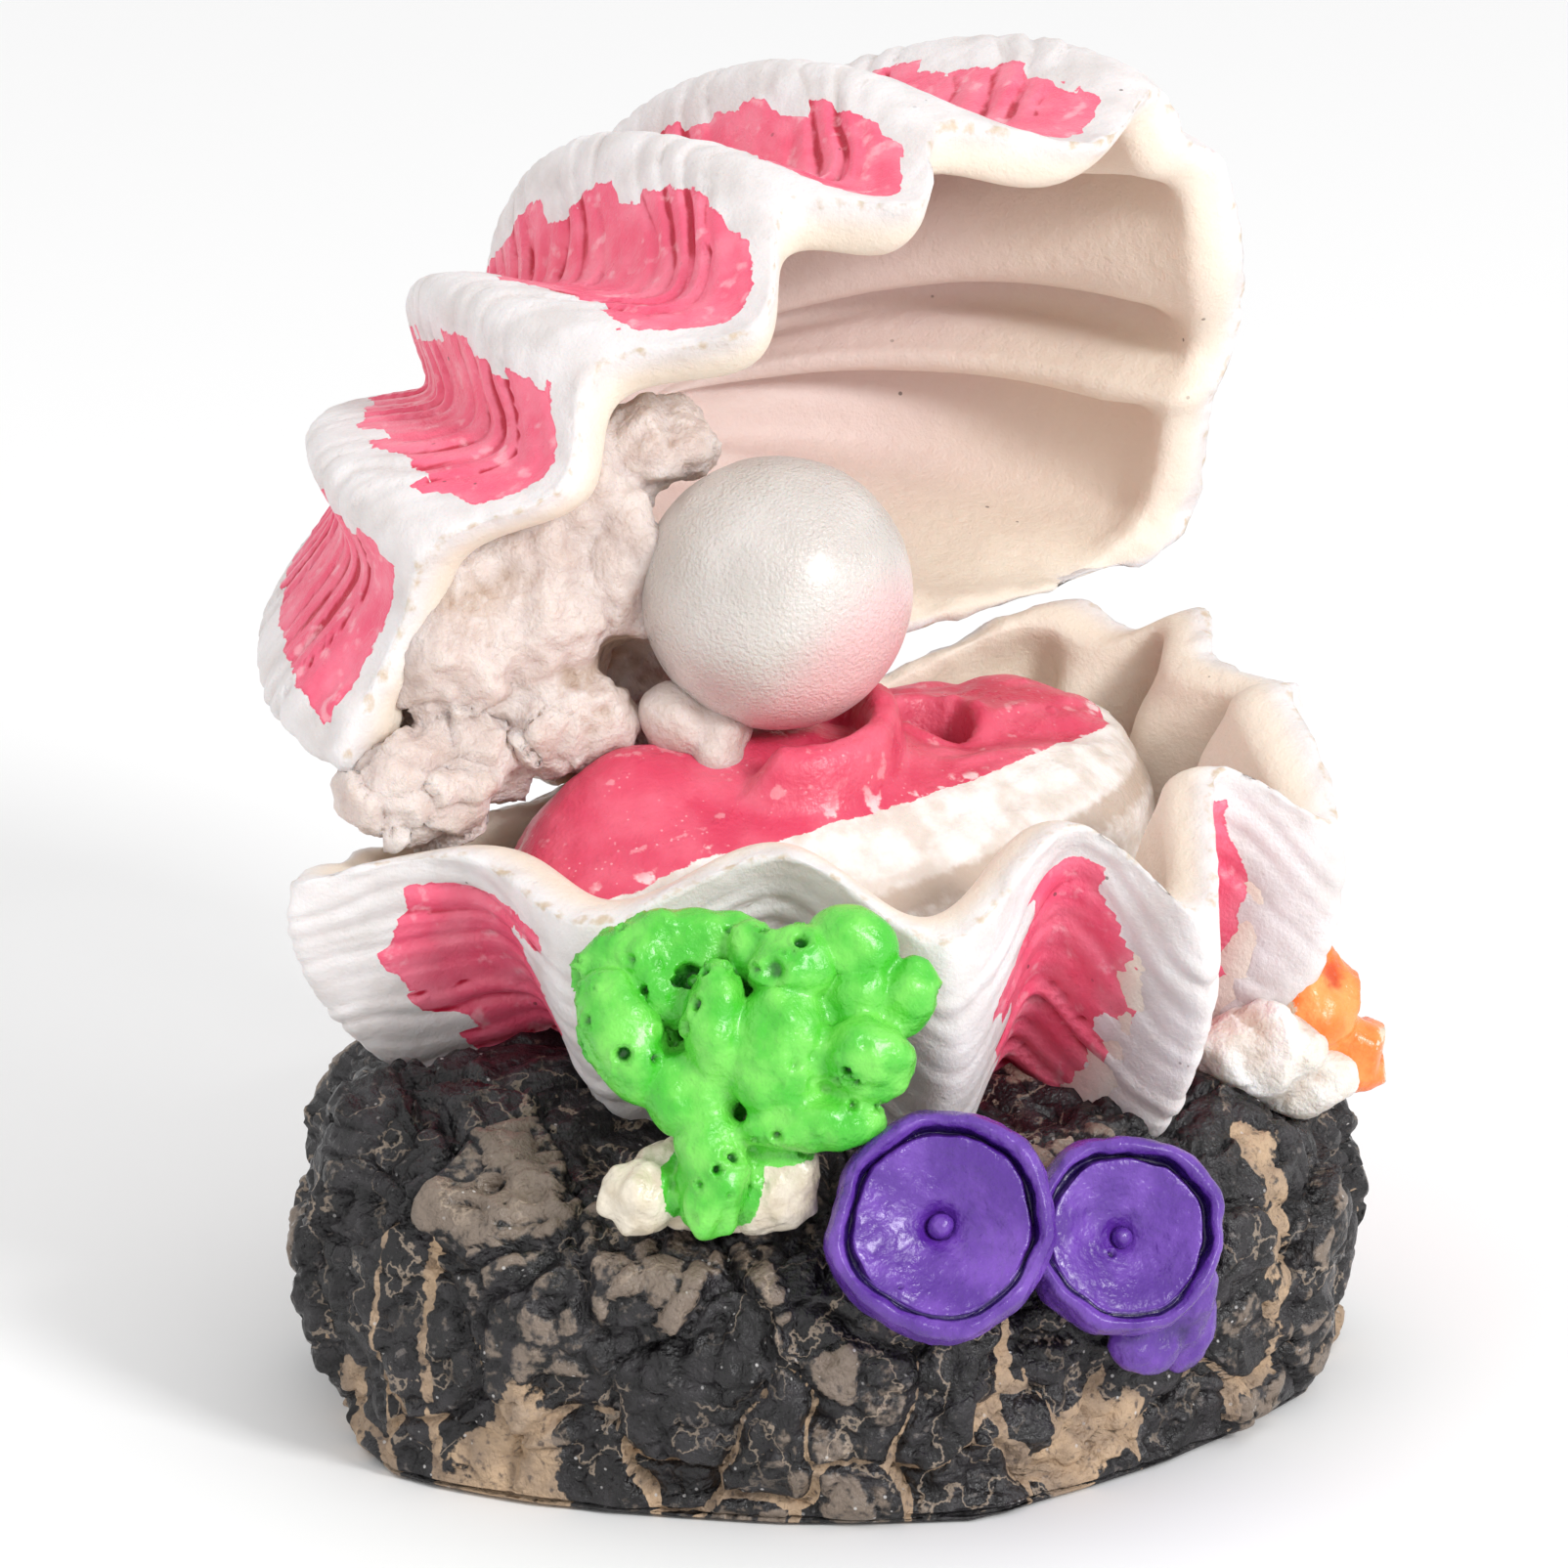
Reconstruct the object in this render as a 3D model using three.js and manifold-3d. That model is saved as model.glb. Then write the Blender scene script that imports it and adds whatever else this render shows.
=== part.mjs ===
// Bubbling aquarium ornament: an open giant clam holding a pearl, on a rock with corals.
// Millimetres, +Z up. The origin is the centre of the flat underside of the rock.
// X runs along the clam's hinge, and the clam opens towards -Y. Air comes in at the back.

import * as THREE from "three";
import { mergeVertices } from "three/addons/utils/BufferGeometryUtils.js";
import Module from "manifold-3d";

const wasm = await Module();
wasm.setup();

// ---- Driving dimensions ----
const GAP = 0.3; // clearance between touching pieces

const ROCK_PROFILE = [
  // [share of the outline's radius, height], from the middle of the top to the middle of the underside
  [0, 17.2], [0.35, 17.2], [0.62, 17.2], [0.8, 16.6], [0.93, 14.6], [0.99, 11], [1.0, 7],
  [0.99, 3.2], [0.975, 0.8], [0.96, 0], [0.4, 0], [0, 0],
];
const ROCK_CORNERS = [
  // [degrees about Z, radius] where the facets of the sides meet
  [8, 24.5], [40, 24], [68, 23.5], [90, 22.6], [112, 23.6], [133, 26.6], [163, 28.6], [177, 28.2],
  [195, 25.2], [225, 23.4], [248, 24], [281, 22.8], [310, 25.6], [327, 27.2], [343, 27.4],
];
const FACET_ROUNDING = 0.35; // 0 leaves the sides of the outline straight
// The left side draws in towards its foot: degrees about Z, spread, share of the radius, height it starts at.
const ROCK_UNDERCUT = { at: 152, spread: 22, share: 0.1, height: 7 };

const WALL = 2.5; // thickness of the clam's valves
const UPPER_OPEN = 78; // degrees that the upper valve stands open from the horizontal
const LOWER_ROLL = 6; // degrees that the lower valve's rim rises along +X
const LOWER_PITCH = 3.4; // degrees that the lower valve's rim drops towards the front

const PEARL = { at: [-0.5, 3.1, 39.8], radius: 6.8 };
const MANTLE = { at: [2.4, 3.4, 25.3], half: [18.6, 9.2, 5.6] }; // it rolls with the lower valve
const SEAT = { at: [-0.5, 3.1], spread: [4.5, 3.6], height: 2.0 }; // the mantle's swelling under the pearl
const OUTLET = { at: [9.6, 3.4], half: [2.0, 1.3] }; // the oval mouth that the bubbles leave by

const AIRLINE = 4; // bore of the flexible line that the nipple takes
const NIPPLE = { bore: 2.6, barb: 5.0, collar: 8, seat: 7, height: 8 };
const REAR_FLAT_Y = 20.2; // the flat ground on the back of the rock for the nipple's collar
const TUBE = { outside: 4.4, inside: 3 };
const TUBE_ROUTE = [
  [0, REAR_FLAT_Y - NIPPLE.seat - GAP, NIPPLE.height], [0, 9.5, NIPPLE.height], [2.2, 5.8, 9.4],
  [7, 3.9, 13.4], [OUTLET.at[0], OUTLET.at[1], 19], [OUTLET.at[0], OUTLET.at[1], 27.5],
];

const DEG = Math.PI / 180;

// ---- Solids ----
function solid(geometry) {
  const g = geometry.clone();
  g.deleteAttribute("normal");
  g.deleteAttribute("uv");
  const merged = mergeVertices(g, 1e-3);
  const triVerts = new Uint32Array(merged.index.array);
  const vertProperties = merged.attributes.position.array;
  const made = new wasm.Manifold(new wasm.Mesh({ numProp: 3, vertProperties, triVerts }));
  if (made.volume() > 0) return made;
  for (let i = 0; i < triVerts.length; i += 3) {
    const first = triVerts[i];
    triVerts[i] = triVerts[i + 1];
    triVerts[i + 1] = first;
  }
  return new wasm.Manifold(new wasm.Mesh({ numProp: 3, vertProperties, triVerts }));
}

function geometryOf(body) {
  const mesh = body.getMesh();
  const stride = mesh.numProp;
  const position = new Float32Array((mesh.vertProperties.length / stride) * 3);
  for (let i = 0; i < position.length / 3; i++)
    position.set(mesh.vertProperties.subarray(i * stride, i * stride + 3), 3 * i);
  const g = new THREE.BufferGeometry();
  g.setAttribute("position", new THREE.BufferAttribute(position, 3));
  g.setIndex(new THREE.BufferAttribute(mesh.triVerts, 1));
  g.computeVertexNormals();
  return g;
}

// The largest body of a cut, so that slivers cut free are dropped.
const largest = (body) => body.decompose().reduce((a, b) => (a.volume() > b.volume() ? a : b));

const minus = (body, ...cutters) => largest(cutters.reduce((left, cutter) => left.subtract(cutter), body));

// A sphere whose grid is moved to place(share of a turn, share of the way down): a closed surface.
function warped(around, down, place) {
  const g = new THREE.SphereGeometry(1, around, down);
  const position = g.getAttribute("position");
  for (let j = 0; j <= down; j++)
    for (let i = 0; i <= around; i++) {
      const p = place((i % around) / around, j / down);
      position.setXYZ(j * (around + 1) + i, p.x, p.y, p.z);
    }
  return solid(g);
}

// An ellipsoid at a point, tipped about its own X, then turned about Z.
function blob(at, half, { turn = 0, tip = 0, grow = 0, detail = 12 } = {}) {
  const g = new THREE.SphereGeometry(1, detail, Math.round(detail * 0.65));
  g.scale(half[0] + grow, half[1] + grow, half[2] + grow);
  g.rotateX(tip * DEG);
  g.rotateZ(turn * DEG);
  g.translate(...at);
  return solid(g);
}

// A turned profile [[radius, along], ...] whose axis starts at a point and runs along a direction.
function turned(profile, at, axis, sides = 16) {
  const g = new THREE.LatheGeometry(profile.map(([r, y]) => new THREE.Vector2(r, y)), sides);
  const up = new THREE.Vector3(0, 1, 0);
  g.applyQuaternion(new THREE.Quaternion().setFromUnitVectors(up, new THREE.Vector3(...axis).normalize()));
  g.translate(...at);
  return solid(g);
}

// ---- Clam valves ----
// A valve's rim in its own plane: [along the hinge, away from the hinge, towards the other valve, fold].
// A fold of 1 is a crest of the scalloped rim and -1 is a groove.
const UPPER_RIM = [
  [-25.5, -2.6, 0, 1], [-23, 4.5, -0.5, -1], [-22, 9, 0, 1], [-17, 12.5, 3, -1], [-13, 17, 0, 1],
  [-7.5, 20.5, 5, -1], [-2, 24, 0, 1], [2.5, 25.3, 4.7, -1], [7.5, 27, 0, 1], [14.5, 26.5, 4, -1],
  [22, 27, 0, 1], [24.5, 24, 0.5, -1], [28, 22, 0, 1], [29, 17, 1.5, -1], [31, 12, 0, 1],
  [29.5, 9.5, 0.8, -1], [30, 7, 0, 1], [29, 0, 0, 0], [15, -1.5, 0, 0], [0, -2, 0, 0], [-14, -1.5, 0, 0],
];
const LOWER_RIM = [
  [-26.6, 1, 0.6, 1], [-20.5, 7, 1.8, -1], [-20, 16.5, 1, 1], [-12, 21.5, 3.5, -1], [-9, 30, 0.7, 1],
  [0, 29.5, 3.8, -1], [3, 35.5, 0, 1], [10, 29, 3.6, -1], [15, 32, 0.3, 1], [20, 23.5, 3.3, -1],
  [23.5, 20, 1.7, 1], [23.3, 14.5, 1.8, -1], [26.5, 10, 2.4, 1], [24.4, 7, 1, -1], [22.4, 3, 2.1, 1],
  [12, 0, 0, 0], [0, 0, 0, 0], [-12, 0, 0, 0],
];

// origin is the middle of the hinge; along, out and back are the rim plane's axes and its outward normal.
const upper = {
  origin: new THREE.Vector3(5, 11.3, 35),
  along: new THREE.Vector3(1, 0, 0),
  out: new THREE.Vector3(0, -Math.cos(UPPER_OPEN * DEG), Math.sin(UPPER_OPEN * DEG)),
  back: new THREE.Vector3(0, Math.sin(UPPER_OPEN * DEG), Math.cos(UPPER_OPEN * DEG)),
  rim: UPPER_RIM,
  beak: new THREE.Vector3(0, 3, 16),
  swell: { beak: [10, 17], rim: [14.5, 20] },
  reach: 27,
  relief: 1.0,
};
const lower = {
  origin: new THREE.Vector3(2.5, 13.3, 29.5),
  along: new THREE.Vector3(Math.cos(LOWER_ROLL * DEG), 0, Math.sin(LOWER_ROLL * DEG)),
  out: new THREE.Vector3(0, -Math.cos(LOWER_PITCH * DEG), -Math.sin(LOWER_PITCH * DEG)),
  rim: LOWER_RIM,
  beak: new THREE.Vector3(0, 8, 18),
  swell: { beak: [6, 10], rim: [8, 13] },
  reach: 34,
  relief: 1.0,
};
lower.back = new THREE.Vector3().crossVectors(lower.along, lower.out);

// A closed smooth curve through the rim's points, read at any share of a turn.
function rimCurve(valve) {
  const points = valve.rim.map(([a, b, c]) => new THREE.Vector3(a, b, -c));
  const folds = valve.rim.map((p) => new THREE.Vector3(p[3], 0, 0));
  const make = (list) => new THREE.CatmullRomCurve3(list, true, "catmullrom", 0.5);
  return { place: make(points), fold: make(folds) };
}

// A point of the valve's skin. share runs round the rim, down runs from the beak (0) to the rim (1), and
// offset moves the whole skin outwards.
function skin(valve, curves, share, down, offset) {
  const rim = curves.place.getPoint(share);
  const beak = valve.beak.clone();
  const outward = new THREE.Vector3(rim.x - beak.x, rim.y - beak.y, 0).normalize();
  rim.addScaledVector(outward, offset);
  beak.z += offset;
  const reach = THREE.MathUtils.clamp(rim.y / valve.reach, 0, 1);
  const nearRim = rim.clone().add(new THREE.Vector3(0, 0, THREE.MathUtils.lerp(...valve.swell.rim, reach)));
  const span = new THREE.Vector3(rim.x - beak.x, rim.y - beak.y, 0);
  const nearBeak = beak.clone().addScaledVector(span, 0.25);
  nearBeak.z += THREE.MathUtils.lerp(...valve.swell.beak, reach);
  const local = new THREE.CubicBezierCurve3(beak, nearBeak, nearRim, rim).getPoint(down);
  const depth = Math.sin(Math.PI * down ** 1.4) ** 0.8;
  local.addScaledVector(outward, valve.relief * depth * curves.fold.getPoint(share).x);
  return valve.origin
    .clone()
    .addScaledVector(valve.along, local.x)
    .addScaledVector(valve.out, local.y)
    .addScaledVector(valve.back, local.z);
}

// A valve as a bowl: the outer skin from beak to rim, then the inner skin back to the inside of the beak.
function bowl(valve, grow = 0) {
  const curves = rimCurve(valve);
  const rows = 13; // the rim's flat lip lies between rows 6 and 7
  return warped(4 * valve.rim.length, rows, (share, down) => {
    const row = Math.round(down * rows);
    const inner = row > rows / 2;
    const skinShare = (inner ? rows - row : row) / ((rows - 1) / 2);
    return skin(valve, curves, share, skinShare, inner ? -WALL - grow : grow).addScaledVector(valve.back, -grow);
  });
}

// The bowl filled up to its rim, to clear room for it in a neighbour.
function filledBowl(valve, grow) {
  const curves = rimCurve(valve);
  const middle = valve.origin.clone().addScaledVector(valve.out, valve.reach / 2);
  const rows = 7;
  return warped(4 * valve.rim.length, rows, (share, down) =>
    down < 1 ? skin(valve, curves, share, (down * rows) / (rows - 1), grow) : middle.clone(),
  );
}

// ---- Rock ----
// The outline's radius: straight sides between the corners, a little rounded out.
function rockOutline(angle) {
  const [firstTurn, firstRadius] = ROCK_CORNERS[0];
  const corners = [...ROCK_CORNERS, [firstTurn + 360, firstRadius]];
  const degrees = ((((angle / DEG - firstTurn) % 360) + 360) % 360) + firstTurn;
  const next = corners.findIndex(([turn]) => turn > degrees);
  const [before, innerRadius] = corners[next - 1];
  const [after, outerRadius] = corners[next];
  const fromBefore = innerRadius * Math.sin((degrees - before) * DEG);
  const toAfter = outerRadius * Math.sin((after - degrees) * DEG);
  const straight = (innerRadius * outerRadius * Math.sin((after - before) * DEG)) / (fromBefore + toAfter);
  const rounded = THREE.MathUtils.mapLinear(degrees, before, after, innerRadius, outerRadius);
  return THREE.MathUtils.lerp(straight, rounded, FACET_ROUNDING);
}

function rockBody(grow = 0) {
  const rows = ROCK_PROFILE.length - 1;
  return warped(42, rows, (share, down) => {
    const angle = share * 2 * Math.PI;
    const [part, height] = ROCK_PROFILE[Math.round(down * rows)];
    const away = (((angle / DEG - ROCK_UNDERCUT.at + 540) % 360) - 180) / ROCK_UNDERCUT.spread;
    const low = Math.max(0, 1 - height / ROCK_UNDERCUT.height);
    const drawnIn = 1 - ROCK_UNDERCUT.share * Math.exp(-(away ** 2)) * low;
    const radius = part === 0 ? 0 : part * rockOutline(angle) * drawnIn + grow;
    const lift = height > 0 ? grow : -grow;
    return new THREE.Vector3(radius * Math.cos(angle), radius * Math.sin(angle), height + lift);
  });
}

// ---- Mantle ----
// A flat-topped lozenge that swells up under the pearl.
function mantleBody(grow = 0) {
  const [halfX, halfY, halfZ] = MANTLE.half.map((h) => h + grow);
  const squared = (value, power) => Math.sign(value) * Math.abs(value) ** power;
  const roll = Math.tan(LOWER_ROLL * DEG);
  return warped(24, 9, (share, down) => {
    const turn = share * 2 * Math.PI;
    const side = Math.sin(down * Math.PI) ** 0.62;
    const x = halfX * side * squared(Math.cos(turn), 0.85);
    const y = halfY * side * squared(Math.sin(turn), 0.85);
    const alongSeat = (MANTLE.at[0] + x - SEAT.at[0]) / SEAT.spread[0];
    const acrossSeat = (MANTLE.at[1] + y - SEAT.at[1]) / SEAT.spread[1];
    const nearPearl = Math.exp(-(alongSeat ** 2 + acrossSeat ** 2) / 2);
    const lift = down < 0.5 ? SEAT.height * nearPearl : 0;
    const z = halfZ * squared(Math.cos(down * Math.PI), 0.5) + lift + roll * x;
    return new THREE.Vector3(MANTLE.at[0] + x, MANTLE.at[1] + y, MANTLE.at[2] + z);
  });
}

// ---- Air path ----
function tubeAlong(route, outside, inside, steps) {
  const sides = 8;
  const curve = new THREE.CatmullRomCurve3(route.map((p) => new THREE.Vector3(...p)), false, "centripetal");
  const section = new THREE.Shape().absarc(0, 0, outside / 2, 0, 2 * Math.PI, false);
  if (inside > 0) section.holes.push(new THREE.Path().absarc(0, 0, inside / 2, 0, 2 * Math.PI, true));
  return solid(new THREE.ExtrudeGeometry(section, { steps, curveSegments: sides, extrudePath: curve }));
}

// Room for the tube, run a little past its end so that it opens into the nipple's socket.
function airBore() {
  const [[x, y, z], ...rest] = TUBE_ROUTE;
  return tubeAlong([[x, y + 1, z], ...rest], TUBE.outside + 2 * GAP, 0, 13);
}

function nippleSocket() {
  const r = NIPPLE.collar / 2 + 1;
  const depth = NIPPLE.seat + GAP;
  const bore = AIRLINE / 2 + 0.5 + GAP;
  const profile = [[0, -6], [r + 3, -6], [r + 3, 0], [bore, 0], [bore, depth], [0, depth]];
  return turned(profile, [0, REAR_FLAT_Y, NIPPLE.height], [0, -1, 0]);
}

function airNipple() {
  const inner = NIPPLE.bore / 2;
  const shank = AIRLINE / 2 + 0.5;
  const neck = AIRLINE / 2 - 0.1;
  const barb = NIPPLE.barb / 2;
  const collar = NIPPLE.collar / 2;
  const profile = [
    [inner, -NIPPLE.seat + GAP], [shank, -NIPPLE.seat + GAP], [shank, GAP], [collar, GAP], [collar, 1.6],
    [neck, 1.6], [neck, 3.4], [barb, 3.4], [neck, 5.8], [barb, 5.8], [neck, 8.2], [barb, 8.2],
    [neck - 0.3, 10.8], [inner, 10.8], [inner, -NIPPLE.seat + GAP],
  ];
  return turned(profile, [0, REAR_FLAT_Y, NIPPLE.height], [0, 1, 0]);
}

// ---- Corals ----
const POLYPS = [
  { name: "polyp_large", at: [-10.2, -20.6, 15.0], axis: [-0.56, -0.72, 0.42], radius: 5.6, button: 1.0 },
  { name: "polyp_small", at: [-0.9, -23.0, 13.0], axis: [-0.42, -0.82, 0.38], radius: 4.8, button: 0.8 },
];

function polypCup({ at, axis, radius }) {
  const profile = [
    [0, -2.5], [0.62 * radius, -2.5], [0.95 * radius, -0.6], [radius, 1.4], [0.96 * radius, 2.4],
    [0.86 * radius, 2.7], [0.76 * radius, 2.2], [0.7 * radius, 1.5], [0.3 * radius, 1.0], [0, 1.0],
  ];
  return turned(profile, at, axis, 20);
}

// A cylinder that holds the cup, to clear room for it in a neighbour.
function polypRoom({ at, axis, radius }) {
  const room = radius + GAP + 0.1;
  return turned([[0, -3], [room, -3], [room, 3.1], [0, 3.1]], at, axis);
}

function polypButton({ at, axis, radius, button }) {
  const base = new THREE.Vector3(...at).addScaledVector(new THREE.Vector3(...axis).normalize(), 1.0 + GAP);
  const profile = [[0, 0], [button, 0], [0.92 * button, 0.45], [0.5 * button, 0.8], [0, 0.85]];
  return turned(profile, base.toArray(), axis, 10);
}

const CORAL_LOBES = [
  { at: [-19.6, -9.0, 24.6], half: [2.6, 2.8, 3.1], turn: 30 },
  { at: [-19.1, -12.8, 23.4], half: [2.2, 2.1, 3.8], turn: 0 },
  { at: [-15.8, -14.8, 26.4], half: [2.6, 2.0, 2.2], turn: -40 },
  { at: [-12.7, -16.4, 26.2], half: [2.4, 2.0, 2.1], turn: -40 },
  { at: [-15.5, -16.4, 23.1], half: [2.7, 2.3, 2.2], turn: -40 },
  { at: [-12.5, -18.1, 22.6], half: [2.4, 2.1, 2.7], turn: -40 },
  { at: [-9.9, -17.6, 24.9], half: [1.7, 1.4, 1.9], turn: -40 },
];
const CORAL_FAN = { at: [-17.4, -9.3, 27.5], half: [3.6, 1.4, 2.3], turn: -50 };
const CORAL_STEM = { at: [-18.1, -14.0, 18.0], half: [2.5, 2.3, 4.6], turn: -40 };

// Pieces that press against each other, in order: each is cut back by those before it.
function nested(list, keepClear) {
  const made = [];
  list.forEach((piece, i) => {
    const cutters = list.slice(0, i).map((other) => blob(other.at, other.half, { turn: other.turn, grow: GAP }));
    made.push(minus(blob(piece.at, piece.half, { turn: piece.turn }), ...keepClear, ...cutters));
  });
  return made;
}

// ---- Assembly ----
const finishes = {
  rock: { color: 0x3a3734, roughness: 0.4 },
  shell: { color: 0xece5e2, roughness: 0.5 },
  resin: { color: 0xe8dcc8, roughness: 0.6 },
  pearl: { color: 0xefe6e0, roughness: 0.15 },
  mantle: { color: 0xd9506e, roughness: 0.35 },
  green: { color: 0x55c83c, roughness: 0.35 },
  purple: { color: 0x5a2d96, roughness: 0.4 },
  orange: { color: 0xff7a26, roughness: 0.4 },
  nipple: { color: 0x9aa0a6, roughness: 0.35 },
};

const ornament = new THREE.Group();
function add(name, body, finish) {
  const mesh = new THREE.Mesh(geometryOf(body), new THREE.MeshStandardMaterial({ ...finishes[finish], metalness: 0 }));
  mesh.name = name;
  ornament.add(mesh);
}

const bore = airBore();
const lowerClear = bowl(lower, GAP);
const upperClear = bowl(upper, GAP);
const lowerFilled = filledBowl(lower, GAP);
const rockClear = rockBody(GAP);
const pearlClear = blob(PEARL.at, Array(3).fill(PEARL.radius), { grow: GAP, detail: 22 });

add("rock_base", minus(rockBody(), nippleSocket(), bore, filledBowl(lower, GAP + 0.05)), "rock");
add("lower_valve", minus(bowl(lower), bore), "shell");
add("upper_valve", bowl(upper), "shell");

const outletMouth = blob([...OUTLET.at, 31.6], [...OUTLET.half, 4], { detail: 16 });
add("mantle", minus(mantleBody(), lowerClear, pearlClear, outletMouth, bore), "mantle");
const mantleClear = mantleBody(GAP);

add("pearl", blob(PEARL.at, Array(3).fill(PEARL.radius), { detail: 22 }), "pearl");

const bridges = [
  { name: "hinge_block", at: [-16.4, 9.4, 32.4], half: [6.4, 4.2, 4.6] },
  { name: "hinge_bar", at: [-2, 13.4, 32.6], half: [9.5, 3.6, 4.2] },
  { name: "pearl_bridge", at: [-9.0, 9.6, 38.0], half: [4.6, 4.2, 6.4] },
  { name: "pearl_crown", at: [-2.2, 9.8, 46.4], half: [4.0, 4.0, 2.6] },
  { name: "pearl_foot", at: [-4.6, 1.0, 32.9], half: [2.2, 2.2, 2.2] },
];
nested(bridges, [lowerClear, upperClear, mantleClear, pearlClear]).forEach((body, i) =>
  add(bridges[i].name, body, "resin"),
);

const coralPieces = [CORAL_STEM, ...CORAL_LOBES, CORAL_FAN];
nested(coralPieces, [rockClear, lowerFilled]).forEach((body, i) => {
  const last = coralPieces.length - 1;
  const name = i === 0 ? "coral_stem" : i === last ? "coral_fan" : `coral_lobe_${i}`;
  add(name, body, "green");
});

const coralClear = coralPieces.map((p) => blob(p.at, p.half, { turn: p.turn, grow: GAP }));
const [largeClear, smallClear] = POLYPS.map(polypRoom);
add("polyp_large", minus(polypCup(POLYPS[0]), rockClear, lowerFilled, ...coralClear), "purple");
add("polyp_small", minus(polypCup(POLYPS[1]), rockClear, lowerFilled, largeClear), "purple");
for (const polyp of POLYPS) add(`${polyp.name}_button`, polypButton(polyp), "purple");

add("polyp_drip", minus(blob([1.4, -24.2, 8.6], [2.6, 2.2, 3.6]), rockClear, smallClear), "purple");

const webs = [
  { name: "orange_coral", at: [19.0, -15.3, 18.6], half: [3.0, 3.4, 3.8], turn: -40, finish: "orange" },
  { name: "resin_web", at: [15.0, -16.2, 17.0], half: [3.4, 2.6, 3.4], turn: -40, finish: "resin" },
];
nested(webs, [rockClear, lowerFilled]).forEach((body, i) => add(webs[i].name, body, webs[i].finish));

add("air_tube", tubeAlong(TUBE_ROUTE, TUBE.outside, TUBE.inside, 13), "nipple");
add("air_nipple", airNipple(), "nipple");

export default ornament;
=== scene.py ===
import bpy
import numpy as np
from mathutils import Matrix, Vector
from mathutils.bvhtree import BVHTree


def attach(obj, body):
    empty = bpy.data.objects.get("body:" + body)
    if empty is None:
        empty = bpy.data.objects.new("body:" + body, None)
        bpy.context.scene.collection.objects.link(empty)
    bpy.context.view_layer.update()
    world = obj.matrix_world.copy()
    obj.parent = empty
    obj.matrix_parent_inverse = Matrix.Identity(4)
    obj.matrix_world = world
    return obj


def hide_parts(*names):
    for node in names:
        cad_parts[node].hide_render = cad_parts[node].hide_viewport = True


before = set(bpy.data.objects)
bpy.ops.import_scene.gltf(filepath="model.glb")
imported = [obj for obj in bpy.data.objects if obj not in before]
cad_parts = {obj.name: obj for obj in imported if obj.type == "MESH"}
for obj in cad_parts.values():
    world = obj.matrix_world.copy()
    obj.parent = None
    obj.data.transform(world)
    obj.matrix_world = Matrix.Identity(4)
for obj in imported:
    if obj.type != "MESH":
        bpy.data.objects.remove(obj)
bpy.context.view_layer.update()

# A painted resin aquarium bubbler: an open giant clam with a pearl, on a rock with corals.
# Shapes are worked out in millimetres in the part's frame and made into pieces in metres.

MM = 0.001

# ---- Camera ----
AZIMUTH, ELEVATION = np.radians(-40), np.radians(16)
TARGET = np.array([-1.5, 1.3, 30.5])
DISTANCE = 400.0
SENSOR, LENS = 36.0, 184.9
BACK = np.array([
    np.sin(AZIMUTH) * np.cos(ELEVATION),
    -np.cos(AZIMUTH) * np.cos(ELEVATION),
    np.sin(ELEVATION),
])
RIGHT = np.array([np.cos(AZIMUTH), np.sin(AZIMUTH), 0.0])
UP = np.cross(BACK, RIGHT)


def placed(name, data):
    obj = bpy.data.objects.new(name, data)
    bpy.context.scene.collection.objects.link(obj)
    return obj


def look(obj, target):
    toward = Vector((np.asarray(target) * MM).tolist()) - obj.location
    obj.rotation_euler = toward.to_track_quat("-Z", "Y").to_euler()


camera_data = bpy.data.cameras.new("camera")
camera_data.sensor_width = SENSOR
camera_data.lens = LENS
camera_data.clip_end = 20.0
camera = placed("camera", camera_data)
camera.location = ((TARGET + BACK * DISTANCE) * MM).tolist()
look(camera, TARGET)
bpy.context.scene.camera = camera


# ---- Small maths ----
def unit(v):
    return v / np.maximum(np.linalg.norm(v, axis=-1, keepdims=True), 1e-9)


def smooth(low, high, x):
    t = np.clip((x - low) / (high - low), 0, 1)
    return t * t * (3 - 2 * t)


def lerp(a, b, t):
    return a + (b - a) * t


def bezier(a, b, c, d, t):
    return a * (1 - t) ** 3 + b * 3 * t * (1 - t) ** 2 + c * 3 * t**2 * (1 - t) + d * t**3


def circle_of(count):
    """Angles evenly round a circle."""
    return np.linspace(0, 2 * np.pi, count, endpoint=False)


def bell(x, at, spread, power=2):
    """1 where x is at, falling to almost nothing about twice the spread away."""
    return np.exp(-(((x - at) / spread) ** power))


def mound(x, y, at, half):
    """A bell over a flat place, with a spread of its own each way."""
    return np.exp(-(((x - at[0]) / half[0]) ** 2) - ((y - at[1]) / half[1]) ** 2)


def softened(values, reach, spread):
    """Values along an open line, averaged with up to reach neighbours each way."""
    kernel = np.exp(-(np.arange(-reach, reach + 1) ** 2) / spread)
    return np.convolve(np.pad(values, reach, mode="edge"), kernel / kernel.sum(), mode="valid")


def hashed(cell, seed=0):
    """A repeatable value from -1 to 1 for whole-number cells (..., 3)."""
    n = cell[..., 0] * 73856093 ^ cell[..., 1] * 19349663 ^ cell[..., 2] * 83492791
    n = (n ^ (seed * 7919 + 17)) & 0xFFFFFFFF
    n = ((n ^ (n >> 15)) * 73244475) & 0xFFFFFFFF
    n = ((n ^ (n >> 13)) * 73244475) & 0xFFFFFFFF
    return ((n ^ (n >> 16)) & 0xFFFFFF) / 8388607.5 - 1


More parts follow.
